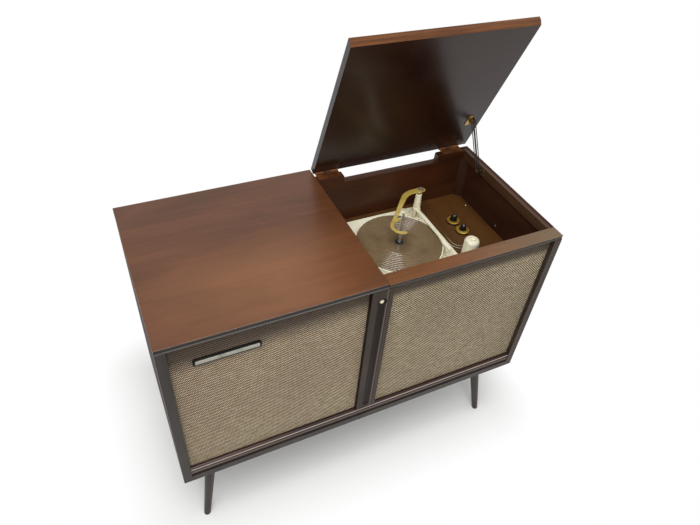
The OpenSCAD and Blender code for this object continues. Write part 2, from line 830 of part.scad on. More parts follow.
module idler_wheel() color("#2c2c2c") at_floor() {
    translate([idler.x, idler.y, deck_z + 8]) difference() {
        cylinder(h = 4, r = idler_r);
        translate([0, 0, -1]) cylinder(h = 6, r = 2 + run);
    }
}

module platter() color("#e8e4d0") at_floor() {
    translate([spin.x, spin.y, 0]) rotate_extrude() polygon([
        [spindle_r + run, platter_z], [9, platter_z], [9, platter_top - 3], [rim_in, platter_top - 3],
        [rim_in, platter_z + 1], [platter_r, platter_z + 1], [platter_r, platter_top + 0.8],
        [platter_r - 2.6, platter_top + 0.8], [platter_r - 2.6, platter_top],
        [spindle_r + run, platter_top]
    ]);
}

module platter_mat() color("#8a7355") at_floor() {
    mat_r = platter_r - 3;
    rib = 0.5;
    ribs = 9;
    pitch = 6.2;
    translate([spin.x, spin.y, platter_top]) rotate_extrude() {
        translate([10.6, 0]) square([mat_r - 10.6, mat_t - rib]);
        translate([10.6, 0]) square([15.4, mat_t]);
        for (i = [0 : ribs]) translate([mat_r - 2 - i * pitch - 1.6, 0]) square([2.2, mat_t]);
        translate([spindle_r + run, 0]) square([10.4 - spindle_r - run, mat_t + 2]);
    }
}

module spindle() color("silver") at_floor() {
    bend_h = 11;
    bend_z = mat_z + spindle_h - bend_h;
    translate([spin.x, spin.y, 0]) {
        translate([0, 0, board_z - 10]) cylinder(h = bend_z - board_z + 10, r = spindle_r);
        translate([0, 0, bend_z - 1]) rotate([0, -7, 0]) cylinder(h = bend_h + 1, r1 = spindle_r - 0.3, r2 = 2.4);
        translate([0, 0, mat_z + 2.4]) cylinder(h = 2.4, r = 5);
        translate([0, 0, deck_z]) cylinder(h = platter_z - deck_z - run, r = 9);
        translate([0, 0, board_z - 10]) cylinder(h = 6, r = 12);
    }
    translate([idler.x, idler.y, deck_z - deck_t]) cylinder(h = deck_t + 13, r = 2);
    translate([idler.x, idler.y, deck_z]) cylinder(h = 7.7, r = 5);
}

module overarm_post() color("#f1edd4") at_floor() {
    translate([arm_post.x, arm_post.y, deck_z]) difference() {
        union() {
            cylinder(h = 11, r = 12);
            translate([0, 0, 11]) cylinder(h = arm_post_h - 11, r1 = 10.5, r2 = 7.8);
        }
        translate([0, 0, 6]) cylinder(h = arm_post_h, r = rod_r + run);
    }
    translate([arm_post.x - 25, arm_post.y + 21, deck_z]) {
        cylinder(h = 5, r = 10);
        translate([0, 0, 5]) cylinder(h = 3.5, r1 = 10, r2 = 6.5);
    }
}

module overarm_rod() color("silver") at_floor() {
    translate([arm_post.x, arm_post.y, deck_z]) {
        translate([0, 0, 6.5]) cylinder(h = arm_post_h - 6.5, r = rod_r);
        translate([0, 0, arm_post_h]) cylinder(h = 1.5, r = 7);
        translate([0, 0, arm_post_h]) cylinder(h = arm_z - deck_z - arm_post_h + overarm_t - 1.3, r = 3);
    }
}

// The overarm's middle line leaves the root along -x, bends onto a slanting straight and hooks
// round the spindle. Each point is [x, y, heading, share of the way].
slant = 227;
bend_r = 50;
hook_r = 23.5;
root_y = 7;
hook_start = spin - hook_r * [cos(slant + 90), sin(slant + 90)];
bend_end_y = arm_post.y + root_y - bend_r + bend_r * sin(slant - 90);
bend_mid_x = hook_start.x - (hook_start.y - bend_end_y) / tan(slant) - bend_r * cos(slant - 90);
overarm_path = concat(
    [[arm_post.x + 11, arm_post.y + root_y, 180, 0]],
    [for (a = [180 : (slant - 180) / 8 : slant + 0.01])
        [bend_mid_x + bend_r * cos(a - 90), arm_post.y + root_y - bend_r + bend_r * sin(a - 90), a,
         0.1 + 0.3 * (a - 180) / (slant - 180)]],
    [for (a = [slant : 8.5 : 355])
        [spin.x + hook_r * cos(a - 90), spin.y + hook_r * sin(a - 90), a, 0.75 + 0.25 * (a - slant) / (355 - slant)]]
);

function overarm_w(t) = overarm_w1 + (overarm_w2 - overarm_w1) * min(1, t / 0.7);

function beside(p, side) = [p[0], p[1]] + side * overarm_w(p[3]) / 2 * [cos(p[2] + 90), sin(p[2] + 90)];

module overarm() color("#cdb55a") at_floor() difference() {
    translate([0, 0, arm_z]) union() {
        linear_extrude(overarm_t) {
            polygon(concat(
                [for (p = overarm_path) beside(p, 1)],
                [for (i = [len(overarm_path) - 1 : -1 : 0]) beside(overarm_path[i], -1)]
            ));
            translate([arm_post.x + 11, arm_post.y + root_y]) circle(overarm_w1 / 2);
            translate(arm_post) circle(6.2);
            polygon([for (p = [[6, 34], [15.5, 27], [14, 23], [4, 22.5], [-8, 19]]) spin + p]);
        }
        translate([arm_post.x + 8, arm_post.y + root_y - 0.5, overarm_t])
            cylinder(h = 3, r1 = 0.44 * overarm_w1, r2 = 0.36 * overarm_w1);
    }
    translate([arm_post.x, arm_post.y, arm_z - 1]) cylinder(h = overarm_t, r = 3 + run);
}

// ---- Tone arm ----

turn_off = [-tone_x, -tone_y];
tone_z = mat_z + 8;
tone_length = norm(arm_post + turn_off - spin) + tone_reach;
tone_low = 5;

module tone_arm_turret() color("#f1edd4") at_floor() {
    translate([arm_post.x, arm_post.y, deck_z + tiny]) difference() {
        union() {
            rotate_extrude() polygon([[0, 0], [21, 0], [21, 2], [18, 3.5], [15.8, 6], [14.4, 9], [0, 9]]);
            translate([turn_off.x - 8, turn_off.y - 8, 0]) cube([16, 16, 9]);
            for (x = [-8, 5]) translate([turn_off.x + x, turn_off.y - 6, 8]) cube([3, 12, tone_z - deck_z - 8 + 5]);
        }
        translate([0, 0, -1]) cylinder(h = 20, r = 12 + run);
        translate([turn_off.x - 9, turn_off.y, tone_z - deck_z - tiny]) rotate([0, 90, 0]) cylinder(h = 18, r = pin_r + run);
    }
}

module tone_arm_rest() color("#202020") at_floor() {
    translate([arm_post.x + turn_off.x, arm_post.y + turn_off.y - tone_length, deck_z]) {
        h = tone_z - tone_low - tiny - deck_z;
        cylinder(h = 2, r = 6);
        cylinder(h = h, r = 2.5);
        translate([-7, -2.5, h - 2]) cube([14, 5, 2]);
    }
}

module tone_arm() color("#f1edd4") at_floor() {
    translate([arm_post.x + turn_off.x, arm_post.y + turn_off.y, tone_z]) {
        difference() {
            union() {
                translate([-tone_w / 2, -tone_length + 30, -3.5]) cube([tone_w, tone_length - 24, 7.5]);
                translate([0, -tone_length + 25, -tone_low]) linear_extrude(11) polygon([
                    [-tone_w / 2, 14], [-head_w / 2, 4], [-head_w / 2, -26], [3 - head_w / 2, -30],
                    [head_w / 2 - 3, -30], [head_w / 2, -26], [head_w / 2, 4], [tone_w / 2, 14]
                ]);
            }
            translate([-head_w / 2 + 1, -tone_length + 8, -6]) cube([head_w - 2, 12, 2]);
        }
        translate([-3.5, -tone_length + 9, -6.2]) cube([7, 10, 2.4]);
        rotate([0, 90, 0]) translate([0, 0, -7.9]) cylinder(h = 15.8, r = pin_r);
    }
}

// ---- Hinges, lid and stay ----

// Pose of the lid: what is drawn at the hinge axis in the closed position is swung open
module on_lid() {
    translate([0, axis_y, axis_z]) rotate([-lid_open, 0, 0]) children();
}

module barrel(x, from, to, r) {
    translate([x + from, 0, 0]) rotate([0, 90, 0]) cylinder(h = to - from, r = r);
}

third = hinge_w / 3;

module hinge_frame_leaves() color("#b07838") at_floor() translate([0, axis_y, axis_z]) {
    for (x = hinge_xs) {
        difference() {
            union() {
                translate([x, -leaf_reach, -rest_gap - leaf_t]) cube([hinge_w, leaf_reach - 1, leaf_t]);
                barrel(x, 0, third - 0.15, barrel_r);
                barrel(x, 2 * third + 0.15, hinge_w, barrel_r);
            }
            barrel(x, third - 0.15, 2 * third + 0.15, barrel_r + 0.4);
            barrel(x, -1, hinge_w + 1, pin_r + run);
        }
        barrel(x, 0, hinge_w, pin_r);
    }
}

module hinge_lid_leaves() color("#b07838") at_floor() on_lid() {
    for (x = hinge_xs) difference() {
        union() {
            translate([x, -leaf_reach, 0]) cube([hinge_w, leaf_reach - 1, leaf_t]);
            barrel(x, third + 0.15, 2 * third - 0.15, barrel_r);
        }
        barrel(x, -1, third + 0.15, barrel_r + 0.4);
        barrel(x, 2 * third - 0.15, hinge_w + 1, barrel_r + 0.4);
        barrel(x, -1, hinge_w + 1, pin_r + run);
    }
}

module lid() color("#6a3c22") at_floor() on_lid() {
    front = lid_reach;
    difference() {
        strip_x(lid_x, body_w - lid_x)
            polygon([
                [-0.5, 0], [-front, 0], [-front - lid_lean * 0.8, lid_t * 0.5],
                [-front - lid_lean, lid_t], [-0.5, lid_t]
            ]);
        for (x = hinge_xs) {
            barrel(x, -0.4, hinge_w + 0.4, barrel_r + 0.6);
            translate([x, -leaf_reach, -1]) cube([hinge_w, leaf_reach, leaf_t + 1]);
        }
    }
}

// The lid bracket's tongue and the wall pin's head lie side by side on the left of the two bars
tongue_x = stay_x - stay_gap - stay_t - 3.5;
pin_head_x = tongue_x + 2;

module stay_lid_bracket() color("#b08a48") at_floor() on_lid() {
    leaf = 1.4;
    reach = stay_x + stay_t + 0.6 - tongue_x;
    translate([tongue_x - 11.5, -cos(lid_pivot) * stay_r - 17, -leaf]) cube([13, 34, leaf]);
    translate([tongue_x, -cos(lid_pivot) * stay_r, -stay_drop]) rotate([0, 90, 0]) {
        cylinder(h = 1.5, r = 4.4);
        translate([-stay_drop, -8, 0]) cube([stay_drop, 16, 1.5]);
        cylinder(h = reach, r = pin_r);
        translate([0, 0, reach - 0.3]) cylinder(h = 0.7, r = 2.4);
    }
}

module stay_wall_bracket() color("#b08a48") at_floor() {
    leaf = 1.4;
    collar = stay_x + stay_t + 0.4;
    translate([0, axis_y - cos(wall_pivot) * stay_r, axis_z - sin(wall_pivot) * stay_r]) {
        translate([well_r - leaf, -18, -8]) cube([leaf, 36, 16]);
        translate([pin_head_x, 0, 0]) rotate([0, 90, 0]) {
            cylinder(h = well_r - pin_head_x, r = stay_pin_r);
            cylinder(h = 1, r = 4);
            translate([0, 0, collar - pin_head_x]) cylinder(h = well_r - collar, r = 3.2);
        }
    }
}

// The rivet at the far end of the bars lies this far past the slot
stay_tail = 4.9;

// One slotted bar: the wall pin runs in its slot
module stay_bar() {
    tail = slot_out + stay_tail;
    linear_extrude(stay_t) difference() {
        union() {
            circle(stay_w / 2);
            translate([-stay_w / 2, -tail]) square([stay_w, tail]);
            translate([0, -tail]) circle(stay_w / 2);
        }
        circle(pin_r + run);
        translate([-stay_pin_r - 0.35, -slot_out]) square([2 * stay_pin_r + 0.7, slot_out - slot_in]);
        for (s = [slot_in, slot_out]) translate([0, -s]) circle(stay_pin_r + 0.35);
    }
}

// Two bars side by side, held apart by a sleeve round the lid pin and a rivet at the far end
module lid_stay() color("#7a6a50") at_floor() {
    translate([stay_x, axis_y, axis_z]) rotate([-lid_open + lid_pivot, 0, 0]) translate([0, -stay_r, 0])
        rotate([lid_open - lid_pivot - bar_lean, 0, 0]) rotate([90, 0, 90]) {
            stay_bar();
            translate([0, 0, -stay_gap - stay_t]) stay_bar();
            translate([0, 0, -stay_gap - 0.2]) difference() {
                cylinder(h = stay_gap + 0.4, r = 3);
                translate([0, 0, -1]) cylinder(h = stay_gap + 3, r = pin_r + run);
            }
            translate([0, -slot_out - stay_tail, -stay_gap - 0.2]) cylinder(h = stay_gap + 0.4, r = 2);
        }
}

left_top();
left_side_panel();
right_side_panel();
front_posts();
bottom_panel();
centre_divider();
well_front_rail();
well_side_rail();
well_rear_board();
battens();
back_panel();
back_panel_screws();
cord_grommet();
centre_stile();
pilot_lamp_holder();
pilot_jewel();
bottom_moulding();
left_baffle();
right_baffle();
left_grille_cloth();
right_grille_cloth();
nameplate_frame();
nameplate_bar();
woofer_frames();
woofer_cones();
tweeters();
amplifier_chassis();
transformers();
valves();
motor_board();
control_inlay();
controls();
volume_knob();
volume_skirt();
tone_knob();
tone_skirt();
adapter_peg();
record_adapter();
deck_plate();
deck_mounts();
drive_motor();
motor_pulley();
idler_wheel();
platter();
platter_mat();
spindle();
overarm_post();
overarm_rod();
overarm();
tone_arm_turret();
tone_arm();
tone_arm_rest();
hinge_frame_leaves();
hinge_lid_leaves();
lid();
stay_lid_bracket();
stay_wall_bracket();
lid_stay();
leg_plates();
legs();
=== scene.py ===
"""Looks of a long low record player cabinet: veneered boards, woven grilles, a record changer in a
well under an open lid, and four turned legs. Lengths are in metres. The CAD frame carries every
piece, and the middle of the floor under the cabinet is the origin."""

import json
import math

import bmesh
import bpy
import numpy as np
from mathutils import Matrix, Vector


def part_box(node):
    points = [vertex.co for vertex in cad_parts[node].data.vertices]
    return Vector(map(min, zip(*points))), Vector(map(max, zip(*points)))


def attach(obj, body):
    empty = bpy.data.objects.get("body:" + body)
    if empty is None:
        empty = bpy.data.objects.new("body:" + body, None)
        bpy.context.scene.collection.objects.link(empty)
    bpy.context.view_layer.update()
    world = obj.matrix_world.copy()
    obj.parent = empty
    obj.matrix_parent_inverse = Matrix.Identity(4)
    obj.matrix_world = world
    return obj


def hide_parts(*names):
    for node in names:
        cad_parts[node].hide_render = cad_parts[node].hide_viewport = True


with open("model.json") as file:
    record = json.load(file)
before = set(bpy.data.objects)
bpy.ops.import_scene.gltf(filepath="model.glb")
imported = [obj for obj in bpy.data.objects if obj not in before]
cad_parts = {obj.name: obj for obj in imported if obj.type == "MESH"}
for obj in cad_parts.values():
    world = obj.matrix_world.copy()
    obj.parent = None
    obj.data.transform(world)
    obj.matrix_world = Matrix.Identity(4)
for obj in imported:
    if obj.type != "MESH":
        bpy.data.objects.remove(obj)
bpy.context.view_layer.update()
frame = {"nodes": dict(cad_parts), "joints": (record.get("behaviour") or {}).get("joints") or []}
MM = 0.001
TURN = 2 * math.pi
# Weave of the grilles: length of a float and its gap, distance of two rows, rise of a float, and
# thickness of the cloth under the floats
FLOAT_LONG = 5.94 * MM
FLOAT_ROW = 2.99 * MM
FLOAT_RISE = 0.5 * MM
CLOTH_THICK = 0.55 * MM


# ---- Places taken from the frame ----

def box(node):
    """Lowest and highest corner of a node as arrays."""
    low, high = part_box(node)
    return np.array(low), np.array(high)


def middle(node):
    """Centre of a node's box."""
    low, high = box(node)
    return (low + high) / 2


SPIN = middle("platter")
POST = middle("overarm_rod")
LID_OPEN = math.radians(
    next(j["range_deg"][1] for j in frame["joints"] if j["name"] == "lid_hinge"))
# Directions on the open lid: out of its underside, and out of its front edge
LID_DOWN = (0.0, -math.sin(LID_OPEN), -math.cos(LID_OPEN))
LID_FRONT = (0.0, -math.cos(LID_OPEN), math.sin(LID_OPEN))
UP, DOWN = (0.0, 0.0, 1.0), (0.0, 0.0, -1.0)
LEFT, RIGHT = (-1.0, 0.0, 0.0), (1.0, 0.0, 0.0)
FRONT = (0.0, -1.0, 0.0)


# ---- Paint: small helpers for node materials ----

def colour(code):
    """A colour written as #rrggbb, turned into linear light."""
    parts = [int(code[i:i + 2], 16) / 255 for i in (1, 3, 5)]
    return [p / 12.92 if p <= 0.04045 else ((p + 0.055) / 1.055) ** 2.4 for p in parts] + [1.0]


def along(axis, lengthwise, crosswise):
    """Stretch of a pattern that runs along one axis."""
    return tuple(lengthwise if a == axis else crosswise for a in "XYZ")


class Paint:
    """A Principled material. Most methods add one node and return its output."""

    def __init__(self, name, base="#808080", roughness=0.5, metal=0.0, **constants):
        self.material = bpy.data.materials.new(name)
        self.material.use_nodes = True
        self.nodes = self.material.node_tree.nodes
        self.links = self.material.node_tree.links
        self.shader = self.nodes["Principled BSDF"]
        self.place = self.nodes.new("ShaderNodeTexCoord")
        self.put(self.shader.inputs["Base Color"], base)
        self.put(self.shader.inputs["Roughness"], roughness)
        self.put(self.shader.inputs["Metallic"], metal)
        for socket, value in constants.items():
            self.put(self.shader.inputs[socket.replace("_", " ")], value)

    def put(self, socket, value):
        """Links a node's output to a socket, or writes a number or colour on it."""
        if isinstance(value, bpy.types.NodeSocket):
            self.links.new(value, socket)
        else:
            socket.default_value = colour(value) if isinstance(value, str) else value

    def add(self, kind, inputs, output=0, **settings):
        """Adds a node, fills its inputs, and returns one of its outputs."""
        made = self.nodes.new("ShaderNode" + kind)
        for name, value in settings.items():
            setattr(made, name, value)
        for key, value in inputs.items():
            self.put(made.inputs[key], value)
        return made.outputs[output]

    def spot(self, stretch=(1, 1, 1), centre=(0, 0, 0)):
        """Object coordinates from a centre, stretched."""
        moved = self.add(
            "VectorMath", {0: self.place.outputs["Object"], 1: tuple(centre)}, operation="SUBTRACT")
        return self.add("Mapping", {"Vector": moved, "Scale": stretch})

    def axis(self, letter, centre=(0, 0, 0)):
        """One coordinate of the object, measured from a centre."""
        split = self.nodes.new("ShaderNodeSeparateXYZ")
        self.put(split.inputs[0], self.spot(centre=centre))
        return split.outputs["XYZ".index(letter)]

    def off(self, letter, centre=(0, 0, 0)):
        """Distance from a centre along one axis."""
        return self.maths("ABSOLUTE", self.axis(letter, centre))

    def reach(self, centre, stretch):
        """Distance from a centre, with each coordinate stretched first."""
        return self.add(
            "VectorMath", {0: self.spot(stretch, centre)}, output=1, operation="LENGTH")

    def noise(self, scale, stretch=(1, 1, 1), detail=3.0, rough=0.5, bend=0.0):
        """Clouds from 0 to 1, with this many to a metre."""
        return self.add("TexNoise", {
            "Vector": self.spot(stretch), "Scale": scale, "Detail": detail,
            "Roughness": rough, "Distortion": bend})

    def maths(self, operation, a, b=0.0, clamp=False):
        """One step of arithmetic."""
        return self.add("Math", {0: a, 1: b}, operation=operation, use_clamp=clamp)

    def spread(self, value, low, high, to_low=0.0, to_high=1.0):
        """Maps low..high onto to_low..to_high."""
        return self.add("MapRange", {
            "Value": value, "From Min": low, "From Max": high, "To Min": to_low, "To Max": to_high})

    def vary(self, noise, low, high):
        """Maps the usual range of a noise, 0.3 to 0.7, onto low..high."""
        return self.spread(noise, 0.3, 0.7, low, high)

    def fade(self, distance, outer, inner, strength):
        """A soft mark: strength up to the distance inner, falling to 0 at outer."""
        return self.maths("MULTIPLY", self.spread(distance, outer, inner), strength)

    def ramp(self, value, *stops):
        """Colour by value, between stops given as (position, colour)."""
        made = self.nodes.new("ShaderNodeValToRGB")
        points = made.color_ramp.elements
        while len(points) < len(stops):
            points.new(0.5)
        for point, (position, code) in zip(points, stops):
            point.position = position
            point.color = colour(code)
        self.put(made.inputs[0], value)
        return made.outputs[0]

    def mix(self, share, a, b, kind="MIX"):
        """Colour a where share is 0, and b where it is 1."""
        made = self.nodes.new("ShaderNodeMix")
        made.data_type = "RGBA"
        made.blend_type = kind
        for index, value in ((0, share), (6, a), (7, b)):
            self.put(made.inputs[index], value)
        return made.outputs[2]

    def facing(self, direction, low, high):
        """0 to 1 as a face turns towards a direction of the object."""
        dot = self.add(
            "VectorMath", {0: self.place.outputs["Normal"], 1: tuple(direction)},
            output=1, operation="DOT_PRODUCT")
        return self.spread(dot, low, high)

    def relief(self, *heights):
        """Bumps: each height comes with its depth in metres."""
        last = None
        for height, depth in heights:
            bump = self.nodes.new("ShaderNodeBump")
            self.put(bump.inputs["Height"], height)
            bump.inputs["Distance"].default_value = depth
            if last is not None:
                self.put(bump.inputs["Normal"], last)
            last = bump.outputs[0]
        self.put(self.shader.inputs["Normal"], last)

    def use(self, **sockets):
        """Sends outputs to the shader's sockets and returns the material."""
        for socket, value in sockets.items():
            self.put(self.shader.inputs[socket.replace("_", " ")], value)
        return self.material


# ---- Finishes ----

# Patterns to a metre of a veneer's clouds, streaks and pores, and how much its pores darken it
CLOUDS, STREAKS, PORES = 3.2, 16.0, 90.0
PORE_SHADE = 0.35


def grain(paint, light, dark, axis="X", fine=1.0, streak=0.4):
    """Stained veneer: broad clouds of tone, streaks drawn out along the grain, and short dark
    pores. Returns the colour and the pore height."""
    drift = paint.noise(CLOUDS * fine, along(axis, 1.0, 2.6), detail=4.0, bend=1.2)
    lines = paint.noise(STREAKS * fine, along(axis, 0.25, 9.0), detail=6.0, rough=0.6, bend=0.2)
    pores = paint.noise(PORES * fine, along(axis, 0.6, 12.0), detail=2.0, rough=0.4)
    tone = paint.maths(
        "ADD", paint.maths("MULTIPLY", drift, 1.0 - streak), paint.maths("MULTIPLY", lines, streak))
    body = paint.mix(paint.spread(tone, 0.34, 0.66), dark, light)
    pits = paint.spread(pores, 0.60, 0.72)
    return paint.mix(paint.maths("MULTIPLY", pits, PORE_SHADE), body, dark), pits


def satin(paint, gloss, pits):
    """Satin lacquer: slightly uneven gloss, and pores that telegraph through. Returns the
    roughness, which lies about gloss."""
    cloudy = paint.noise(7.0, detail=4.0)
    paint.relief((pits, -0.03 * MM), (cloudy, 0.2 * MM))
    return paint.vary(cloudy, gloss - 0.04, gloss + 0.07)


def plain_wood(name, light, dark, axis="X", gloss=0.38, streak=0.4, fine=1.0, shine=0.5):
    """Stained wood under satin lacquer, with its grain along one axis."""
    paint = Paint(name, Specular_IOR_Level=shine)
    shade, pits = grain(paint, light, dark, axis, fine, streak)
    return paint.use(Base_Color=shade, Roughness=satin(paint, gloss, pits))


# Height of the painted highlight line on a slate edge, as a share of the edge's, and its colour
EDGE_HIGHLIGHT_SHARE, EDGE_HIGHLIGHT_TONE = 0.13, "#6c6863"
# Lighter wood of a rubbed arris that carries a painted highlight, and a painted sheen on veneer
ARRIS_WEAR_AND_HIGHLIGHT, PAINTED_SHEEN_TONE = "#c89a7c", "#9c6a44"


def veneered_board(name, node, light, dark, edge, edge_dark, line, painted_sheen=None, tail=None):
    """A board with veneer above and below, and with edges stained slate. A painted highlight line,
    as strong as line says, runs near the foot of the edges, and the upper front arris has rubbed
    through to lighter wood that also carries a painted highlight. A patch of painted sheen lies
    about the point given as its middle, and tail is the veneer's colour towards its right end."""
    paint = Paint(name, Specular_IOR_Level=0.36)
    shade, pits = grain(paint, light, dark)
    if tail is not None:
        shade = paint.mix(paint.spread(paint.axis("X"), 0.25, 0.43), shade, tail)
    # Painted sheen: a lighter, cloudy patch of veneer about the given middle
    if painted_sheen is not None:
        near = paint.spread(paint.reach(painted_sheen, (1.0, 1.7, 0.0)), 0.30, 0.02, 0.0, 0.5)
        cloud = paint.noise(5.0, along("X", 0.7, 1.6), detail=4.0)
        cloud = paint.spread(cloud, 0.35, 0.65, 0.35, 1.0)
        shade = paint.mix(paint.maths("MULTIPLY", near, cloud), shade, PAINTED_SHEEN_TONE)
    stain, _ = grain(paint, edge, edge_dark, fine=1.4)
    low, high = box(node)
    # Painted highlight: a lighter line along the slate edges near their foot
    off = paint.off("Z", (0, 0, low[2] + EDGE_HIGHLIGHT_SHARE * (high[2] - low[2])))
    stain = paint.mix(paint.fade(off, 2.8 * MM, 1.2 * MM, line), stain, EDGE_HIGHLIGHT_TONE)
    veneer = paint.maths("MAXIMUM", paint.facing(UP, 0.72, 0.80), paint.facing(DOWN, 0.72, 0.80))
    shown = paint.mix(veneer, stain, shade)
    # The upper front arris: lighter rubbed wood with a painted highlight
    arris = (Vector(UP) + Vector(FRONT)).normalized()
    worn_and_lit = paint.maths("MULTIPLY", paint.facing(arris, 0.90, 0.97), paint.noise(30.0, detail=4.0))
    shown = paint.mix(worn_and_lit, shown, ARRIS_WEAR_AND_HIGHLIGHT)
    return paint.use(Base_Color=shown, Roughness=satin(paint, 0.3, pits))


def lid_wood():
    """The lid: veneer outside, a near black brown underside, a warm front band and slate ends."""
    paint = Paint("lid_veneer", Specular_IOR_Level=0.31)
    outer, pits = grain(paint, "#643c23", "#4a2b18")
    under, _ = grain(paint, "#321c11", "#21110a", fine=0.8)
    band, _ = grain(paint, "#764620", "#3e210c", fine=1.6, streak=0.65)
    ends, _ = grain(paint, "#2c2622", "#1c1815", axis="Y")
    shown = paint.mix(paint.facing(LID_DOWN, 0.70, 0.80), outer, under)
    shown = paint.mix(paint.facing(LID_FRONT, 0.55, 0.70), shown, band)
    side = paint.maths("MAXIMUM", paint.facing(RIGHT, 0.7, 0.8), paint.facing(LEFT, 0.7, 0.8))
    shown = paint.mix(side, shown, ends)
    return paint.use(Base_Color=shown, Roughness=satin(paint, 0.22, pits))


# The yarn of the grilles from dark to light, the gaps between its floats, and the painted shadow's
# tint
YARN = ((0.3, "#cab084"), (0.5, "#e8ce9f"), (0.7, "#fcebc4"))
YARN_GAP, YARN_SHADE_TINT = "#120c06", "#7a6c5c"


def grille_weave(node, over, tint, deep, shallow, lean=0.0):
    """Coarse grille cloth. Tan floats show where the cosine along the float times the cosine across
    its row is high, as in the mesh, and the gaps between them are dark. Shadow from the board over
    it is painted into the cloth: none at the depth deep under that board, and full from the depth
    shallow up. At its left end the painted shadow starts lower by lean."""
    paint = Paint(node, roughness=0.9, Sheen_Weight=0.15, Sheen_Roughness=0.5)
    sway = paint.spread(paint.noise(60.0, detail=3.0), 0.0, 1.0, -0.3, 0.3)
    lengthwise = paint.maths("MULTIPLY", paint.axis("X"), TURN / FLOAT_LONG)
    lengthwise = paint.maths("ADD", lengthwise, sway)
    crosswise = paint.maths("MULTIPLY", paint.axis("Z"), math.pi / FLOAT_ROW)
    height = paint.maths(
        "MULTIPLY", paint.maths("COSINE", lengthwise), paint.maths("COSINE", crosswise))
    slub = paint.noise(150.0, along("X", 0.5, 1.6), detail=3.0)
    patch = paint.noise(4.0, detail=3.0)
    yarn = paint.mix(paint.spread(patch, 0.35, 0.65, 0.0, 0.5), paint.ramp(slub, *YARN), tint)
    shown = paint.mix(paint.spread(height, 0.08, 0.38), YARN_GAP, yarn)
    # Painted shadow under the board over the cloth, stronger towards that board
    low, high = box(over)
    lower = paint.spread(paint.axis("X"), low[0], high[0], lean, 0.0)
    dust_and_shade = paint.spread(paint.maths("ADD", paint.axis("Z", low), lower), -deep, -shallow)
    shown = paint.mix(dust_and_shade, shown, YARN_SHADE_TINT, kind="MULTIPLY")
    fibres = paint.noise(900.0, along("X", 0.4, 1.5), detail=2.0)
    paint.relief((fibres, 0.25 * MM))
    return paint.use(Base_Color=shown)


def enamel(name, light, shade, gloss=0.25):
    """Sprayed enamel or moulded plastic: faint clouding, orange peel and a little yellowing."""
    paint = Paint(name)
    cloud = paint.noise(14.0, detail=4.0)
    peel = paint.noise(420.0, detail=2.0)
    paint.relief((peel, 0.03 * MM))
    return paint.use(
        Base_Color=paint.ramp(cloud, (0.35, shade), (0.65, light)),
        Roughness=paint.vary(cloud, gloss - 0.05, gloss + 0.1))


def brushing(paint, light, dark, axis="X", gloss=0.3):
    """Fine brushing along one axis and a few stains. Returns the colour and the roughness."""
    brush = paint.noise(70.0, along(axis, 0.6, 18.0), detail=4.0)
    stain = paint.noise(36.0, detail=4.0, rough=0.6)
    paint.relief((brush, 0.02 * MM))
    shown = paint.mix(paint.spread(stain, 0.45, 0.7), light, dark)
    return shown, paint.vary(brush, gloss - 0.06, gloss + 0.12)


def brushed_metal(name, light, dark, axis="X", gloss=0.3, metal=1.0):
    """Brushed metal, with metal below 1 where it has dulled or is lacquered."""
    paint = Paint(name, metal=metal)
    shown, rough = brushing(paint, light, dark, axis, gloss)
    return paint.use(Base_Color=shown, Roughness=rough)


def plate_metal():
    """The bare nameplate: brushed metal with a thin black border along its foot and its ends."""
    paint = Paint("plate_metal", metal=0.9)
    shown, rough = brushing(paint, "#aaa89c", "#7c7a70", gloss=0.42)
    low, high = box("nameplate_bar")
    half = (high[0] - low[0]) / 2
    foot = paint.spread(paint.axis("Z", low), 4.0 * MM, 3.0 * MM)
    ends = paint.spread(paint.off("X", (low + high) / 2), half - 2.2 * MM, half - 1.4 * MM)
    border = paint.maths("MAXIMUM", foot, ends)
    return paint.use(
        Base_Color=paint.mix(border, shown, "#0a0908"), Roughness=rough,
        Metallic=paint.maths("SUBTRACT", 0.9, border, clamp=True))


def rubber(name, light, dark, gloss=0.6, shine=0.5):
    """Rubber or Bakelite: faint dust and a fine grain."""
    paint = Paint(name, Specular_IOR_Level=shine)
    dust_and_shade = paint.noise(38.0, detail=5.0, rough=0.6)
    paint.relief((paint.noise(600.0, detail=2.0), 0.03 * MM))
    return paint.use(
        Base_Color=paint.ramp(dust_and_shade, (0.35, dark), (0.7, light)),
        Roughness=paint.vary(dust_and_shade, gloss - 0.08, gloss + 0.08))


def mat_rubber():
    """Brown platter mat: dusty, with a darker field under the label and a polished skin."""
    paint = Paint(
        "mat_rubber", Coat_Weight=0.8, Coat_Roughness=0.17, Coat_IOR=1.6, Specular_IOR_Level=0.25)
    dust_and_shade = paint.noise(30.0, detail=4.0)
    base = paint.ramp(dust_and_shade, (0.3, "#705c41"), (0.7, "#806b4d"))
    label = paint.fade(paint.reach(SPIN, (1, 1, 0)), 34 * MM, 14 * MM, 0.5)
    return paint.use(
        Base_Color=paint.mix(label, base, "#4c3e2c"), Roughness=paint.vary(dust_and_shade, 0.45, 0.6))


def pressed_board(name, light, dark, speck=260.0):
    """Hardboard or paper: mottled fibres with fine specks."""
    paint = Paint(name, roughness=0.85)
    fibre = paint.noise(speck, detail=5.0, rough=0.7)
    cloud = paint.noise(6.0, detail=3.0)
    specks = paint.ramp(fibre, (0.3, dark), (0.7, light))
    shown = paint.mix(paint.vary(cloud, 0.0, 0.4), specks, dark)
    paint.relief((fibre, 0.1 * MM))
    return paint.use(Base_Color=shown)


def valve_glass():
    """Clear glass with a little haze."""
    paint = Paint("valve_glass", roughness=0.08, Transmission_Weight=0.8, IOR=1.45)
    haze = paint.noise(60.0)
    return paint.use(Base_Color=paint.ramp(haze, (0.3, "#b8c4c4"), (0.7, "#e4ecec")))


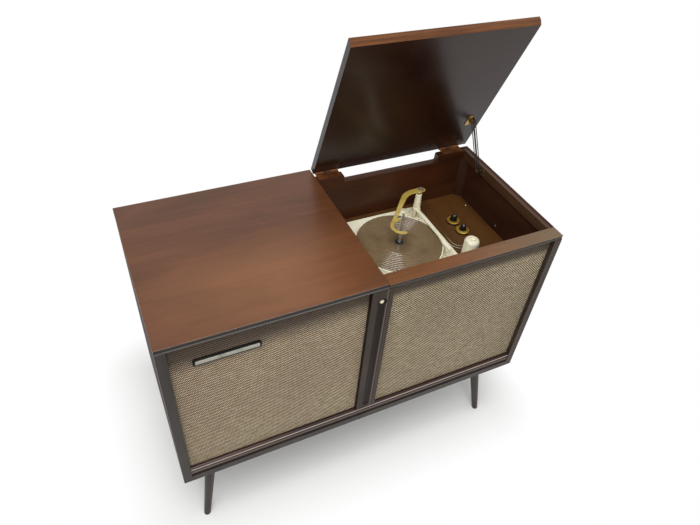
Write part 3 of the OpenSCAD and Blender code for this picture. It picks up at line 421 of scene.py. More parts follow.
def lamp_lens():
    """A small domed lens: a painted highlight pale in the middle, and dull amber towards its rim.
    """
    paint = Paint("lamp_lens", roughness=0.15, Coat_Weight=0.5)
    reach = paint.reach(middle("pilot_jewel"), (1, 0, 1))
    haze = paint.noise(200.0, detail=2.0)
    # Painted highlight: pale at the lens's middle, darkening outwards
    from_highlight = paint.maths("ADD", paint.spread(reach, 3.0 * MM, 5.5 * MM), paint.vary(haze, -0.1, 0.1))
    tone = paint.ramp(from_highlight, (0.1, "#efe6c0"), (0.6, "#a08c60"), (1.0, "#4a3c28"))
    return paint.use(Base_Color=tone)


# Painted highlight and shade lines upright on the stile's face: distance to the right of its middle
# and half the width, both in mm, then strength and colour
STILE_SHADE = "#140c08"
STILE_HIGHLIGHT_AND_SHADE = (
    (11.0, 1.5, 0.6, "#766a60"), (-9.5, 1.4, 0.7, STILE_SHADE), (14.8, 1.4, 0.7, STILE_SHADE))


def stile_wood():
    """The stile: brown on its face, with a dark groove line of painted shade on each side of the
    flute, a painted highlight on the ridge to the right of it, and painted shade nearly black down
    the flute and on its left side."""
    paint = Paint("stile_wood", Specular_IOR_Level=0.2)
    shown, pits = grain(paint, "#42332a", "#2c2119", axis="Z")
    flute_shade, _ = grain(paint, "#241510", "#150c08", axis="Z")
    low, high = box("centre_stile")
    across = paint.axis("X", ((low[0] + high[0]) / 2, 0, 0))
    # Painted highlight and shade lines down the face
    for x, half, strength, tone in STILE_HIGHLIGHT_AND_SHADE:
        off = paint.maths("ABSOLUTE", paint.maths("SUBTRACT", across, x * MM))
        shown = paint.mix(paint.fade(off, half * MM, half * 0.4 * MM, strength), shown, tone)
    # Painted shade on the stile's left side
    shown = paint.mix(paint.facing(LEFT, 0.7, 0.8), shown, STILE_SHADE)
    # Painted shade, nearly black, down the flute
    deep = paint.spread(paint.axis("Y", low), 0.4 * MM, 1.6 * MM)
    within = paint.spread(paint.maths("ABSOLUTE", across), 8.8 * MM, 8.2 * MM)
    shown = paint.mix(paint.maths("MULTIPLY", deep, within, clamp=True), shown, flute_shade)
    return paint.use(Base_Color=shown, Roughness=satin(paint, 0.46, pits))


def post_wood():
    """Front posts and bottom: slate stain, with brown showing through on the right post."""
    paint = Paint("grey_edge", Specular_IOR_Level=0.26)
    slate, pits = grain(paint, "#403a34", "#2a2622", axis="Z")
    brown, _ = grain(paint, "#3d2a1c", "#27190f", axis="Z")
    share = paint.spread(paint.axis("X"), 0.40, 0.445, 0.15, 0.8)
    return paint.use(Base_Color=paint.mix(share, slate, brown), Roughness=satin(paint, 0.4, pits))


# Painted highlights along the bottom moulding: share of its height, half the width in mm, and
# strength
MOULDING_HIGHLIGHTS = ((0.84, 1.5, 0.95), (0.42, 1.3, 0.25))


def moulding_wood():
    """The bead along the bottom: dark brown, with a painted highlight line along each of its two
    ridges.
    """
    paint = Paint("moulding_wood", Specular_IOR_Level=0.35)
    shade, pits = grain(paint, "#3a211b", "#221310")
    low, high = box("bottom_moulding")
    # Painted highlight lines at the heights of the ridges
    for share, half, strength in MOULDING_HIGHLIGHTS:
        off = paint.off("Z", (0, 0, low[2] + share * (high[2] - low[2])))
        shade = paint.mix(paint.fade(off, half * MM, half * 0.3 * MM, strength), shade, "#c8b6a8")
    return paint.use(Base_Color=shade, Roughness=satin(paint, 0.32, pits))


def pin_stripe():
    """Cream pinstripe: bright at the near left corner, and worn nearly away towards the others."""
    paint = Paint("pin_stripe", roughness=0.5)
    wear = paint.noise(45.0, detail=4.0, rough=0.65)
    away = paint.reach(box("control_inlay")[0], (1, 1, 0))
    kept = paint.maths("ADD", paint.vary(wear, -0.25, 0.25), paint.spread(away, 75 * MM, 20 * MM))
    tone = paint.ramp(kept, (0.1, "#614220"), (0.45, "#94774c"), (0.9, "#f0e6c8"))
    return paint.use(Base_Color=tone)


FINISHES = {node: material for nodes, material in (
    # The top's veneer has a patch of painted sheen near its front
    ("left_top", veneered_board(
        "top_veneer", "left_top", "#643c24", "#4a2c19", "#241e19", "#17120e", 0.6,
        painted_sheen=(-0.20, -0.13, 0.0))),
    ("lid", lid_wood()),
    ("well_front_rail", veneered_board(
        "rail_wood", "well_front_rail", "#7e5232", "#623e24", "#2e231b", "#1d1510", 0.25,
        tail="#6e583c")),
    ("well_side_rail", plain_wood("rim_wood", "#4e3422", "#332012", axis="Y", shine=0.25)),
    ("left_side_panel right_side_panel",
     plain_wood("side_veneer", "#432415", "#2a1409", axis="Y", gloss=0.6, shine=0.15)),
    ("front_posts bottom_panel", post_wood()),
    ("well_rear_board centre_divider",
     plain_wood("well_wood", "#4a2612", "#2e1609", gloss=0.42, shine=0.3)),
    ("battens", plain_wood("batten_wood", "#3a2418", "#26160e", axis="Z", gloss=0.7, shine=0.08)),
    ("back_panel", pressed_board("fibreboard", "#8c6a44", "#6c4e30")),
    ("centre_stile", stile_wood()),
    ("bottom_moulding", moulding_wood()),
    ("legs", plain_wood(
        "leg_wood", "#433b34", "#2b241e", axis="Z", gloss=0.42, fine=1.6, shine=0.28)),
    ("back_panel_screws leg_plates", brushed_metal("screw_steel", "#a8a8a6", "#6c6a66")),
    ("cord_grommet deck_mounts", rubber("black_rubber", "#2c2a28", "#151413")),
    ("pilot_lamp_holder nameplate_frame",
     rubber("black_plastic", "#121110", "#060605", gloss=0.42, shine=0.15)),
    ("pilot_jewel", lamp_lens()),
    ("left_baffle right_baffle", pressed_board("speaker_board", "#3a3028", "#241c16")),
    ("nameplate_bar", plate_metal()),
    ("woofer_frames tweeters", brushed_metal("speaker_steel", "#5c5c5a", "#3a3a38", gloss=0.4)),
    ("woofer_cones", pressed_board("cone_paper", "#2a2826", "#171615", speck=500.0)),
    ("amplifier_chassis", brushed_metal("chassis_steel", "#a6a6a2", "#7c7c78", gloss=0.4)),
    ("transformers", brushed_metal("core_steel", "#54504c", "#3a3632", gloss=0.5)),
    ("valves", valve_glass()),
    ("motor_board", plain_wood(
        "board_print", "#64411c", "#43290f", axis="Y", gloss=0.40, streak=0.6, fine=1.3)),
    ("control_inlay", pin_stripe()),
    ("controls adapter_peg spindle overarm_rod",
     brushed_metal("bright_steel", "#dcdcda", "#a4a4a2", "Z", 0.22, metal=0.85)),
    ("volume_knob tone_knob", rubber("black_knob", "#1c1c1c", "#0a0a0a", gloss=0.25)),
    ("volume_skirt tone_skirt",
     brushed_metal("gold_trim", "#e6c056", "#bd9432", gloss=0.3, metal=0.75)),
    ("record_adapter", enamel("cream_plastic", "#f6f1da", "#e6dfbe")),
    ("deck_plate platter", enamel("cream_enamel", "#fffbe6", "#f4edcc")),
    ("overarm_post tone_arm_turret tone_arm tone_arm_rest",
     enamel("cream_moulding", "#f8f4dc", "#ece5c4")),
    ("drive_motor", brushed_metal("motor_paint", "#62625e", "#44443f", gloss=0.5, metal=0.6)),
    ("motor_pulley", brushed_metal("pulley_brass", "#c8a850", "#94742c", "Z", 0.25)),
    ("idler_wheel", rubber("idler_rubber", "#34322f", "#1b1a18")),
    ("platter_mat", mat_rubber()),
    ("overarm", enamel("gold_arm", "#c8b064", "#ae9446", gloss=0.3)),
    ("hinge_frame_leaves",
     brushed_metal("hinge_brass", "#86542c", "#5c341a", gloss=0.44, metal=0.6)),
    # The lid's hinge leaves and screws are dark brown as painted shade
    ("hinge_lid_leaves",
     brushed_metal("hinge_leaf_shade", "#3c2418", "#2a180f", gloss=0.45, metal=0.2)),
    ("stay_lid_bracket", brushed_metal("bracket_brass", "#b8944e", "#70542a", gloss=0.34)),
    ("stay_wall_bracket", brushed_metal("stay_brass", "#7c6444", "#4c3a24", gloss=0.36, metal=0.7)),
    ("lid_stay", brushed_metal("stay_steel", "#3a3026", "#221b15", "Z", 0.36, metal=0.5)),
    # The grille cloths carry painted shadow under the boards over them
    ("left_grille_cloth", grille_weave(
        "left_grille_cloth", "left_top", "#cfae90", 74 * MM, 28 * MM, lean=15 * MM)),
    ("right_grille_cloth", grille_weave(
        "right_grille_cloth", "well_front_rail", "#b8a478", 47 * MM, 30 * MM)),
) for node in nodes.split()}


def dress_nodes():
    """Gives every CAD node its finish."""
    for name, node in frame["nodes"].items():
        if not node.material_slots:
            node.data.materials.append(None)
        for slot in node.material_slots:
            slot.material = FINISHES[name]


# Edges sharper than the first angle are rounded, and faces that turn by less than the second are
# merged
EASE_ANGLE, FLAT_ANGLE = math.radians(40), math.radians(0.5)


def ease_edges(name, width):
    """Rounds a board's sharp edges with live modifiers: its loose corners are welded, its flat
    faces are merged, then its sharp edges get a small round."""
    node = frame["nodes"][name]
    node.modifiers.new("weld", "WELD").merge_threshold = 0.01 * MM
    flat = node.modifiers.new("flat", "DECIMATE")
    flat.decimate_type = "DISSOLVE"
    flat.angle_limit = FLAT_ANGLE
    flat.use_dissolve_boundaries = True
    bevel = node.modifiers.new("ease", "BEVEL")
    bevel.width = width
    bevel.segments = 3
    bevel.limit_method = "ANGLE"
    bevel.angle_limit = EASE_ANGLE
    bevel.harden_normals = True
    bevel.use_clamp_overlap = True


# ---- Surfaces worked out on grids ----

def grid_faces(rows, columns, wrap_rows=False, wrap_columns=False):
    """Faces over a grid of points: point (i, j) joins (i + 1, j), (i + 1, j + 1) and (i, j + 1).
    A grid that wraps closes on itself."""
    i = np.arange(rows if wrap_rows else rows - 1)[:, None]
    j = np.arange(columns if wrap_columns else columns - 1)[None, :]
    far_i, far_j = (i + 1) % rows, (j + 1) % columns
    corners = [i * columns + j, far_i * columns + j, far_i * columns + far_j, i * columns + far_j]
    return np.stack([c.ravel() for c in corners], axis=1).tolist()


def shell(name, points, faces):
    """Puts a mesh in the scene, with its seams and poles closed and its faces turned outwards."""
    mesh = bpy.data.meshes.new(name)
    mesh.from_pydata(points.reshape(-1, 3).tolist(), [], faces)
    work = bmesh.new()
    work.from_mesh(mesh)
    bmesh.ops.remove_doubles(work, verts=work.verts, dist=0.001 * MM)
    bmesh.ops.recalc_face_normals(work, faces=work.faces)
    work.to_mesh(mesh)
    work.free()
    mesh.shade_smooth()
    piece = bpy.data.objects.new(name, mesh)
    bpy.context.scene.collection.objects.link(piece)
    return piece


def skin(name, points, wrap_rows=False, wrap_columns=False):
    """A sheet over a grid of points. Rows drawn in to one point close a pole."""
    return shell(name, points, grid_faces(*points.shape[:2], wrap_rows, wrap_columns))


def fit(piece, body, material, slot, *nodes, sharp=None):
    """Paints a piece, hangs it on its body and lets it stand for CAD nodes. Edges of more than
    sharp degrees are shown sharp."""
    piece.data.materials.append(material)
    if sharp is not None:
        piece.data.set_sharp_from_angle(angle=math.radians(sharp))
    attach(piece, body)
    if nodes:
        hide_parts(*nodes)


def round_corner(r, z, radius, start, end, steps=5):
    """Points (r, z) of an arc about a centre, between two angles in degrees."""
    a = np.radians(np.linspace(start, end, steps))
    return np.stack([r + radius * np.cos(a), z + radius * np.sin(a)], axis=1)


def outline(*parts):
    """A profile from points and arcs, one after the other."""
    return np.concatenate([np.atleast_2d(np.array(p, float)) for p in parts])


def turned(name, profile, centre, sides=64, closed=False, wave=None):
    """A turned piece: the profile's points (radius, height) go round the centre. wave changes the
    radius by the height and the angle."""
    angle = np.linspace(0, TURN, sides, endpoint=False)[:, None]
    r, z = profile[None, :, 0], profile[None, :, 1]
    if wave is not None:
        r = wave(r, z, angle)
    r = np.broadcast_to(r, (sides, profile.shape[0]))
    points = np.stack([r * np.cos(angle), r * np.sin(angle), np.broadcast_to(z, r.shape)], axis=2)
    return skin(name, points + np.array(centre), wrap_rows=True, wrap_columns=closed)


def carried(name, line, heading, widths, heights, section=20, power=3.0):
    """A rounded bar: a section of super-ellipse form, |x|^p + |z|^p = 1, is carried along a level
    line. It keeps square to the heading, takes its width and height from the lists, and draws in to
    a point over a quarter circle at both ends."""
    around = np.linspace(0, TURN, section, endpoint=False)
    c, s = np.cos(around), np.sin(around)
    across = np.sign(c) * np.abs(c) ** (2 / power) / 2
    high = np.sign(s) * np.abs(s) ** (2 / power) / 2
    side = np.stack([-np.sin(heading), np.cos(heading), np.zeros_like(heading)], axis=1)
    ahead = np.stack([np.cos(heading), np.sin(heading), np.zeros_like(heading)], axis=1)
    cap = np.radians(np.linspace(90, 0, 6))[:-1]
    first = line[0] - ahead[0] * (widths[0] / 2 * np.sin(cap))[:, None]
    last = line[-1] + ahead[-1] * (widths[-1] / 2 * np.sin(cap[::-1]))[:, None]
    line = np.concatenate([first, line, last])
    draw = np.concatenate([np.cos(cap), np.ones(len(widths)), np.cos(cap[::-1])])
    pad = (len(cap), len(cap))
    widths = np.pad(widths, pad, mode="edge") * draw
    heights = np.pad(heights, pad, mode="edge") * np.sqrt(draw)
    side = np.pad(side, (pad, (0, 0)), mode="edge")
    points = line[:, None, :] + side[:, None, :] * (widths[:, None] * across[None, :])[:, :, None]
    points[:, :, 2] += heights[:, None] * high[None, :]
    return skin(name, points, wrap_columns=True)


# ---- The grilles ----

def grille(node, name):
    """Woven cloth over a speaker board: the floats of the yarn are pillows in staggered rows. Their
    height is the product of a cosine along the float and one across its row."""
    low, high = box(node)
    along_x = np.append(np.arange(low[0], high[0], FLOAT_LONG / 4), high[0])
    up_z = np.append(np.arange(low[2], high[2], FLOAT_ROW / 2), high[2])
    x, z = np.meshgrid(along_x, up_z, indexing="ij")
    height = 0.5 + 0.5 * np.cos(TURN * x / FLOAT_LONG) * np.cos(math.pi * z / FLOAT_ROW)
    front = np.stack([x, high[1] - CLOTH_THICK - FLOAT_RISE * height, z], axis=2).reshape(-1, 3)
    # The border of the grid, once round, is drawn back to the speaker board and closed there
    grid = np.arange(x.size).reshape(x.shape)
    edge = np.concatenate([grid[:, 0], grid[-1, 1:], grid[-2::-1, -1], grid[0, -2:0:-1]])
    rim = front[edge]
    rim[:, 1] = high[1]
    back = x.size + np.arange(len(edge))
    walls = np.stack([edge, back, np.roll(back, -1), np.roll(edge, -1)], axis=1).tolist()
    piece = shell(
        name, np.concatenate([front, rim]), grid_faces(*x.shape) + walls + [back[::-1].tolist()])
    fit(piece, "cabinet", FINISHES[node], "grille_cloth", node)


# ---- The record changer ----

SPIN_FOOT = (SPIN[0], SPIN[1], 0)
# Ridges of the mat: their number, distance, half the width at the foot, and rise
MAT_RIBS = 10
MAT_RIB_PITCH = 6.2 * MM
MAT_RIB_HALF = 1.1 * MM
MAT_RIB_RISE = 0.78 * MM


def ribbed_mat():
    """Rubber mat: a flat ring with ten concentric ridges, round a black boss. Each ridge is a wave
    of one blunt triangle, with sides of about 35 degrees, between flat valleys."""
    low, high = box("platter_mat")
    ring_in, ring_out = 10.6 * MM, (high[0] - low[0]) / 2
    top = low[2] + 2.0 * MM
    floor = top - MAT_RIB_RISE
    peaks = ring_out - 2.5 * MM - MAT_RIB_PITCH * np.arange(MAT_RIBS - 1, -1, -1)
    across = np.array([-1.0, -0.12, 0.12, 1.0]) * MAT_RIB_HALF
    rise = np.array([0.0, 1.0, 1.0, 0.0]) * MAT_RIB_RISE
    ribs = np.stack([(peaks[:, None] + across).ravel(), np.tile(floor + rise, MAT_RIBS)], axis=1)
    label = peaks[0] - MAT_RIB_PITCH * 0.7
    soft = 0.6 * MM
    profile = outline(
        [ring_in, low[2]], [ring_in, top - soft / 2], [ring_in + soft / 2, top],
        [label - 0.9 * MM, top], [label, floor], ribs,
        round_corner(ring_out - soft, floor - soft, soft, 90, 0), [ring_out, low[2]])
    piece = turned("ribbed_mat", profile, SPIN_FOOT, sides=192, closed=True)
    fit(piece, "platter", FINISHES["platter_mat"], "brown_mat", "platter_mat", sharp=20)
    boss_out, boss_in, soft = 10.2 * MM, 3.8 * MM, 1.2 * MM
    seat = high[2] - 0.6 * MM
    boss = outline(
        [boss_in, low[2]], [boss_out, low[2]],
        round_corner(boss_out - soft, high[2] - soft, soft, 0, 90),
        [boss_in + 2.6 * MM, high[2]], [boss_in + 2.0 * MM, seat], [boss_in, seat])
    hub = turned("platter_boss", boss, SPIN_FOOT, sides=64, closed=True)
    fit(hub, "platter", FINISHES["cord_grommet"], "black_rubber", sharp=50)


def platter_dish():
    """Pressed platter: a flat web inside a rolled rim, and a boss round the spindle."""
    low, high = box("platter")
    out = (high[0] - low[0]) / 2
    bore, boss = 3.7 * MM, 9 * MM
    web = high[2] - 0.8 * MM
    foot = low[2] + 1 * MM
    bead = 1.3 * MM
    profile = outline(
        [bore, low[2]], [boss, low[2]], [boss, web - 3 * MM],
        round_corner(out - 8 * MM, web - 4.5 * MM, 1.5 * MM, 90, 0),
        [out - 6.5 * MM, foot], [out - 0.8 * MM, foot],
        round_corner(out - bead, high[2] - bead, bead, 0, 180, 9),
        [out - 2 * bead, web], [bore, web])
    piece = turned("platter_dish", profile, SPIN_FOOT, sides=128, closed=True)
    fit(piece, "platter", FINISHES["platter"], "cream_enamel", "platter", sharp=50)


# The overarm: the slant of its straight and the turn at which its hook ends, in degrees, the radii
# of its bend and its hook, its thickness, and its widths at the root and at the hook in mm
ARM_SLANT, ARM_HOOK_END = 227, 352
ARM_BEND, ARM_HOOK = 50 * MM, 23.5 * MM
ARM_THICK = 4.4 * MM
ARM_ROOT_WIDTH, ARM_HOOK_WIDTH = 19, 9.5


def overarm_line():
    """Middle line of the overarm: back from its root, round a bend onto a slanting straight, then
    round the spindle in a hook."""
    slant, quarter = math.radians(ARM_SLANT), math.pi / 2
    root = POST[:2] + np.array([11, 7]) * MM
    outwards = np.array([math.cos(slant + quarter), math.sin(slant + quarter)])
    hook_start = SPIN[:2] - ARM_HOOK * outwards
    bend_y = root[1] - ARM_BEND
    end_y = bend_y + ARM_BEND * math.sin(slant - quarter)
    bend_x = (hook_start[0] - (hook_start[1] - end_y) / math.tan(slant)
              - ARM_BEND * math.cos(slant - quarter))
    first = np.linspace(math.pi, slant, 14)
    last = np.linspace(slant, math.radians(ARM_HOOK_END), 30)
    curve = np.stack([bend_x + ARM_BEND * np.cos(first - quarter),
                      bend_y + ARM_BEND * np.sin(first - quarter)], axis=1)
    ring = np.stack([SPIN[0] + ARM_HOOK * np.cos(last - quarter),
                     SPIN[1] + ARM_HOOK * np.sin(last - quarter)], axis=1)
    share = np.linspace(0, 1, 12)[1:-1, None]
    straight = curve[-1] * (1 - share) + hook_start * share
    points = np.concatenate([[root], curve, straight, ring])
    heading = np.concatenate([[math.pi], first, np.full(len(share), slant), last])
    return points, heading


def overarm_moulding():
    """Gold overarm: a flat rounded bar that narrows from its root to the hook, with a bronze cap on
    its root, a boss on its rod and a short finger at the hook."""
    low, high = box("overarm")
    points, heading = overarm_line()
    step = np.linalg.norm(np.diff(points, axis=0), axis=1)
    share = np.concatenate([[0], np.cumsum(step)]) / step.sum()
    narrowing = (ARM_HOOK_WIDTH - ARM_ROOT_WIDTH) * MM * np.minimum(1, share / 0.62)
    widths = ARM_ROOT_WIDTH * MM + narrowing
    line = np.column_stack([points, np.full(len(points), low[2] + ARM_THICK / 2)])
    heights = np.full(len(points), ARM_THICK)
    piece = carried("overarm_bar", line, heading, widths, heights, section=28, power=3.2)
    fit(piece, "overarm", FINISHES["overarm"], "gold_arm", "overarm")
    cap_r = 8.3 * MM
    top = high[2] - low[2]
    profile = outline(
        [0, ARM_THICK - 1 * MM], [cap_r, ARM_THICK - 1 * MM], [cap_r, ARM_THICK],
        round_corner(cap_r - 2.4 * MM, top - 2.0 * MM, 2.0 * MM, 20, 90), [0, top])
    cap = turned("overarm_cap", profile, (POST[0] + 8 * MM, POST[1] + 6.5 * MM, low[2]), sides=48)
    bronze = enamel("bronze_cap", "#8c7a64", "#6c5a48", gloss=0.35)
    fit(cap, "overarm", bronze, "gold_arm", sharp=50)
    boss_r = 6.2 * MM
    boss = outline(
        [0, 0], [boss_r - 0.6 * MM, 0],
        round_corner(boss_r - 0.6 * MM, 0.6 * MM, 0.6 * MM, -90, 0, 3),
        round_corner(boss_r - 1.2 * MM, ARM_THICK - 1.3 * MM, 1.2 * MM, 0, 90, 4),
        [0, ARM_THICK - 0.1 * MM])
    seat = turned("overarm_boss", boss, (POST[0], POST[1], low[2]), sides=40)
    fit(seat, "overarm", FINISHES["overarm"], "gold_arm", sharp=50)
    tip = SPIN[:2] + np.array([[-4, 23], [4, 26.5], [12, 26.5]]) * MM
    tip = np.column_stack([tip, np.full(3, low[2] + ARM_THICK / 2)])
    finger = carried(
        "overarm_finger", tip, np.array([0.55, 0.3, -0.1]), np.array([9, 7.5, 5]) * MM,
        np.full(3, ARM_THICK * 0.9))
    fit(finger, "overarm", FINISHES["overarm"], "gold_arm")


# The tone arm, from its pivot to its head: shares of the length, then widths and heights in mm
TONE_SHARES = (0.02, 0.10, 0.3, 0.55, 0.72, 0.78, 0.84, 0.93, 0.98)
TONE_WIDTHS = (8, 7, 6.2, 6.2, 6.6, 9, 12.5, 13, 10)
TONE_HEIGHTS = (6.5, 6.2, 6, 6, 6.4, 8.4, 10, 10.2, 9)


def tone_arm_moulding():
    """Cream tone arm: a rounded bar from the pivot, spreading into its head."""
    low, high = box("tone_arm")
    widths, heights = np.array(TONE_WIDTHS) * MM, np.array(TONE_HEIGHTS) * MM
    count = len(widths)
    y = high[1] - (high[1] - low[1]) * np.array(TONE_SHARES)
    top = high[2] - 2 * MM
    line = np.stack([np.full(count, (low[0] + high[0]) / 2), y, top - heights / 2], axis=1)
    heading = np.full(count, -math.pi / 2)
    piece = carried("tone_arm_bar", line, heading, widths, heights, section=28, power=3.4)
    fit(piece, "tone_arm", FINISHES["tone_arm"], "cream_plastic", "tone_arm")


# ---- Controls ----

# Flutes of a knob: their number and depth
KNOB_FLUTES = 20
KNOB_FLUTE_DEPTH = 0.7 * MM


def knob(node, skirt_node):
    """A turned control knob: a fluted grip that narrows upwards, over a wide base. The flutes are a
    rectified cosine of the angle, and die away at the rounded top. A bright disc is set into it."""
    low, high = box(node)
    skirt_low, skirt_high = box(skirt_node)
    centre = (*middle(node)[:2], 0)
    base_low, base_top = skirt_low[2] - 4.3 * MM, skirt_low[2]
    base_r = (high[0] - low[0]) / 2
    core, grip, neck, soft = 7.6 * MM, 10 * MM, 6.6 * MM, 1.8 * MM
    foot, top = skirt_high[2] + 0.1 * MM, high[2]
    seat = top - 0.4 * MM
    profile = outline(
        [0, base_top - 1 * MM], [core, base_top - 1 * MM], [core, base_low],
        [base_r - 0.8 * MM, base_low], [base_r, base_low + 0.8 * MM], [base_r, base_top - 0.6 * MM],
        [base_r - 0.6 * MM, base_top], [grip, base_top], [grip, foot],
        [neck + 0.3 * MM, top - 2.2 * MM], round_corner(neck - soft, top - soft, soft, 0, 90),
        [3.4 * MM, top], [3.2 * MM, seat], [0, seat])

    def flute(r, z, angle):
        """The radius, cut back between the ridges of the grip."""
        on_side = (r > neck - 0.5 * MM) & (r < grip + 0.1 * MM)
        gripping = on_side & (z > foot - 0.05 * MM) & (z < top - 1.2 * MM)
        return r - gripping * KNOB_FLUTE_DEPTH * (1 - np.abs(np.cos(angle * KNOB_FLUTES / 2)))

    piece = turned(node + "_grip", profile, centre, sides=KNOB_FLUTES * 6, wave=flute)
    fit(piece, node, FINISHES[node], "black_knob", node, sharp=45)
    disc_r, disc_top = 3.1 * MM, top - 0.02 * MM
    disc = outline(
        [0, seat], [disc_r, seat], [disc_r, top - 0.2 * MM], [2.7 * MM, disc_top], [0, disc_top])
    badge = turned(node + "_disc", disc, centre, sides=32)
    fit(badge, node, FINISHES["spindle"], "bright_steel", sharp=40)


# ---- Small trim ----

def pan_head(name, place, axis, radius, height, body, material, slot, turn=0.0):
    """A slotted screw head: a shallow dome on a disc with a slot pressed across it. The slot is a
    dip in the dome's height wherever a point lies close to one diameter."""
    rings = np.linspace(0, 1, 9)
    sides = 24
    angle = np.linspace(0, TURN, sides, endpoint=False)[:, None]
    r = radius * rings[None, :]
    dome = height * np.sqrt(1 - (0.85 * rings[None, :]) ** 2) * np.ones((sides, 1))
    off = np.abs(r * np.sin(angle + turn))
    dome = np.where(off < radius * 0.17, dome - height * 0.45, dome)
    dome[:, 0] = height * 0.55
    points = np.stack([r * np.cos(angle), r * np.sin(angle), dome], axis=2)
    foot = points[:, -1:, :].copy()
    foot[:, :, 2] = 0
    points = np.concatenate([points, foot, np.zeros_like(foot)], axis=1)
    swing = np.array(Vector(UP).rotation_difference(Vector(axis)).to_matrix())
    piece = skin(name, points @ swing.T + np.array(place), wrap_rows=True)
    fit(piece, body, material, slot, sharp=35)


# Hinges: length of a leaf, distance of the pin from the leaves' top and back, and how far the
# screws stand proud of the leaves
LEAF_LONG = 60 * MM
PIN_INSET = 3 * MM
SCREW_PROUD = 0.13 * MM


def hinge_screws():
    """Three sunk screws in each hinge leaf. The two leaves' screws are staggered, and nearly flush,
    so that they pass each other when the lid is closed."""
    low, high = box("hinge_frame_leaves")
    axis_y, axis_z = high[1] - PIN_INSET, high[2] - PIN_INSET
    count = 0
    for start in (low[0], high[0] - LEAF_LONG):
        for share in (0.15, 0.5, 0.85):
            x = start + LEAF_LONG * share
            inner = 19 * MM if share == 0.5 else 8 * MM
            count += 1
            pan_head(f"hinge_screw_{count}", (x, axis_y - inner, axis_z - 0.3 * MM), UP, 2.6 * MM,
                     SCREW_PROUD, "cabinet", FINISHES["hinge_frame_leaves"], "hinge_brass",
                     turn=count * 0.9)
            spot = np.array([x, axis_y, axis_z]) + np.array(LID_FRONT) * 13.5 * MM
            pan_head(f"lid_hinge_screw_{count}", spot, LID_DOWN, 2.6 * MM,
                     SCREW_PROUD, "lid", FINISHES["hinge_lid_leaves"], "hinge_brass",
                     turn=count * 1.3)


def well_screws():
    """One small screw in the motor board, and one in the well's right wall."""
    rim_low, rim_high = box("well_side_rail")
    board = box("motor_board")[1][2]
    for name, spot, axis, turn in (
            ("board_screw", (rim_low[0] - 1 * MM, SPIN[1] + 110 * MM, board), UP, 0.6),
            ("wall_screw", (rim_high[0], SPIN[1] - 10 * MM, board + 17 * MM), LEFT, 0.0)):
        pan_head(name, spot, axis, 2.4 * MM, 0.9 * MM, "cabinet", FINISHES["spindle"],
                 "bright_steel", turn=turn)


# ---- Stage ----

# The solved viewpoint: place, turn in degrees and focal length in mm
CAMERA_PLACE = (-0.47088, -0.90144, 1.53108)
CAMERA_TURN = (47.0865, -4.2906, -25.0226)
CAMERA_LENS = 30.081
# The floor: half its width, the cabinet's half width, middle and half depth on it, the reach of the
# soft shadow round it, and the share of plain white right under it
FLOOR_HALF = 6.0
STAND_HALF_X, STAND_Y, STAND_HALF_Y = 0.45, 0.07, 0.24
SHADOW_REACH = 0.155
SHADOW_WHITE = 0.05
# Level of the white surroundings as a lamp
SKY_LEVEL = 0.5


def photo_camera():
    """The photograph's viewpoint, solved from the cabinet's edges."""
    data = bpy.data.cameras.new("photo_camera")
    data.sensor_fit = "HORIZONTAL"
    data.sensor_width = 36.0
    data.lens = CAMERA_LENS
    data.clip_start = 0.02
    camera = bpy.data.objects.new("photo_camera", data)
    camera.location = CAMERA_PLACE
    camera.rotation_euler = [math.radians(a) for a in CAMERA_TURN]
    bpy.context.scene.collection.objects.link(camera)
    bpy.context.scene.camera = camera


def pale_floor():
    """A white floor. The camera, gloss and glass see it lifted to plain white away from the
    cabinet, and with the cabinet's soft shadow near it."""
    ends = np.array([-FLOOR_HALF, FLOOR_HALF])
    x, y = np.meshgrid(ends, ends, indexing="ij")
    floor = skin("floor", np.stack([x, y, np.full_like(x, -0.5 * MM)], axis=2))
    paint = Paint("floor_white", "#f2f2f0", 0.9)
    past = []
    for off, half in (
            (paint.off("X"), STAND_HALF_X), (paint.off("Y", (0.0, STAND_Y, 0.0)), STAND_HALF_Y)):
        beyond = paint.maths("MAXIMUM", paint.maths("SUBTRACT", off, half), 0.0)
        past.append(paint.maths("MULTIPLY", beyond, beyond))
    away = paint.maths("POWER", paint.maths("ADD", *past), 0.5)
    share = paint.spread(away, 0.0, SHADOW_REACH, SHADOW_WHITE, 1.0)
    rays = paint.nodes.new("ShaderNodeLightPath").outputs
    seen = paint.maths("MAXIMUM", rays["Is Camera Ray"], rays["Is Transmission Ray"])
    seen = paint.maths("MULTIPLY", paint.maths("MAXIMUM", seen, rays["Is Glossy Ray"]), share)
    lift = paint.add("Emission", {"Color": (1, 1, 1, 1), "Strength": 1.0})
    mixed = paint.add("MixShader", {0: seen, 1: paint.shader.outputs[0], 2: lift})
    output = next(n for n in paint.nodes if n.type == "OUTPUT_MATERIAL")
    paint.links.new(mixed, output.inputs["Surface"])
    floor.data.materials.append(paint.material)


def soft_box(name, place, target, size, power):
    """A rectangular soft light aimed at a point."""
    data = bpy.data.lights.new(name, "AREA")
    data.shape = "RECTANGLE"
    data.size, data.size_y = size
    data.energy = power
    lamp = bpy.data.objects.new(name, data)
    lamp.location = place
    lamp.rotation_mode = "QUATERNION"
    lamp.rotation_quaternion = (Vector(target) - Vector(place)).to_track_quat("-Z", "Y")
    bpy.context.scene.collection.objects.link(lamp)


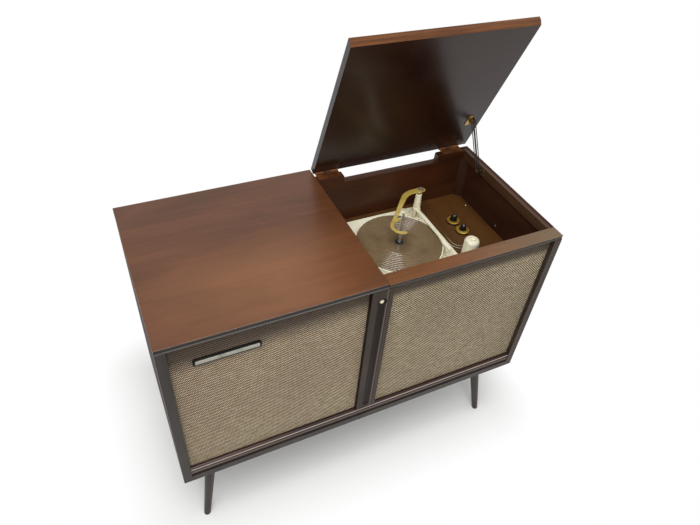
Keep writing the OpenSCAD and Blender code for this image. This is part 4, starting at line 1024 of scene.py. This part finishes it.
def studio_light():
    """White surroundings at a plain level, with one broad lamp overhead and a weaker one in front.
    The camera, gloss and glass see the surroundings as plain white."""
    world = bpy.data.worlds.new("studio")
    bpy.context.scene.world = world
    world.use_nodes = True
    nodes, links = world.node_tree.nodes, world.node_tree.links
    background = nodes["Background"]
    background.inputs["Color"].default_value = (1, 1, 1, 1)
    rays = nodes.new("ShaderNodeLightPath").outputs
    seen = rays["Is Camera Ray"]
    for ray in ("Is Transmission Ray", "Is Glossy Ray"):
        either = nodes.new("ShaderNodeMath")
        either.operation = "MAXIMUM"
        links.new(seen, either.inputs[0])
        links.new(rays[ray], either.inputs[1])
        seen = either.outputs[0]
    level = nodes.new("ShaderNodeMapRange")
    level.inputs["To Min"].default_value = SKY_LEVEL
    level.inputs["To Max"].default_value = 1.0
    links.new(seen, level.inputs["Value"])
    links.new(level.outputs[0], background.inputs["Strength"])
    soft_box("overhead", (-0.62, -0.85, 2.55), (0.1, 0.0, 0.55), (1.7, 1.0), 40.0)
    soft_box("front", (-1.0, -2.6, 1.5), (0.0, 0.0, 0.5), (1.8, 1.2), 8.0)


# ---- Assembly ----

bpy.context.scene.view_settings.view_transform = "Standard"
photo_camera()
pale_floor()
studio_light()
dress_nodes()
# Boards and mouldings with eased edges, and the width of each round in mm
for board, width in (
        ("left_top", 0.9), ("lid", 1.0), ("well_front_rail", 0.8), ("well_side_rail", 0.8),
        ("front_posts", 0.8), ("left_side_panel", 0.6), ("right_side_panel", 0.6),
        ("centre_stile", 0.8), ("well_rear_board", 0.7), ("bottom_panel", 0.6), ("back_panel", 0.4),
        ("deck_plate", 0.9), ("nameplate_frame", 0.8), ("nameplate_bar", 0.5),
        ("record_adapter", 0.6), ("stay_lid_bracket", 0.25), ("stay_wall_bracket", 0.25),
        ("lid_stay", 0.25), ("tone_arm_turret", 0.8), ("overarm_post", 0.8)):
    ease_edges(board, width * MM)
grille("left_grille_cloth", "left_grille")
grille("right_grille_cloth", "right_grille")
ribbed_mat()
platter_dish()
overarm_moulding()
tone_arm_moulding()
knob("volume_knob", "volume_skirt")
knob("tone_knob", "tone_skirt")
hinge_screws()
well_screws()
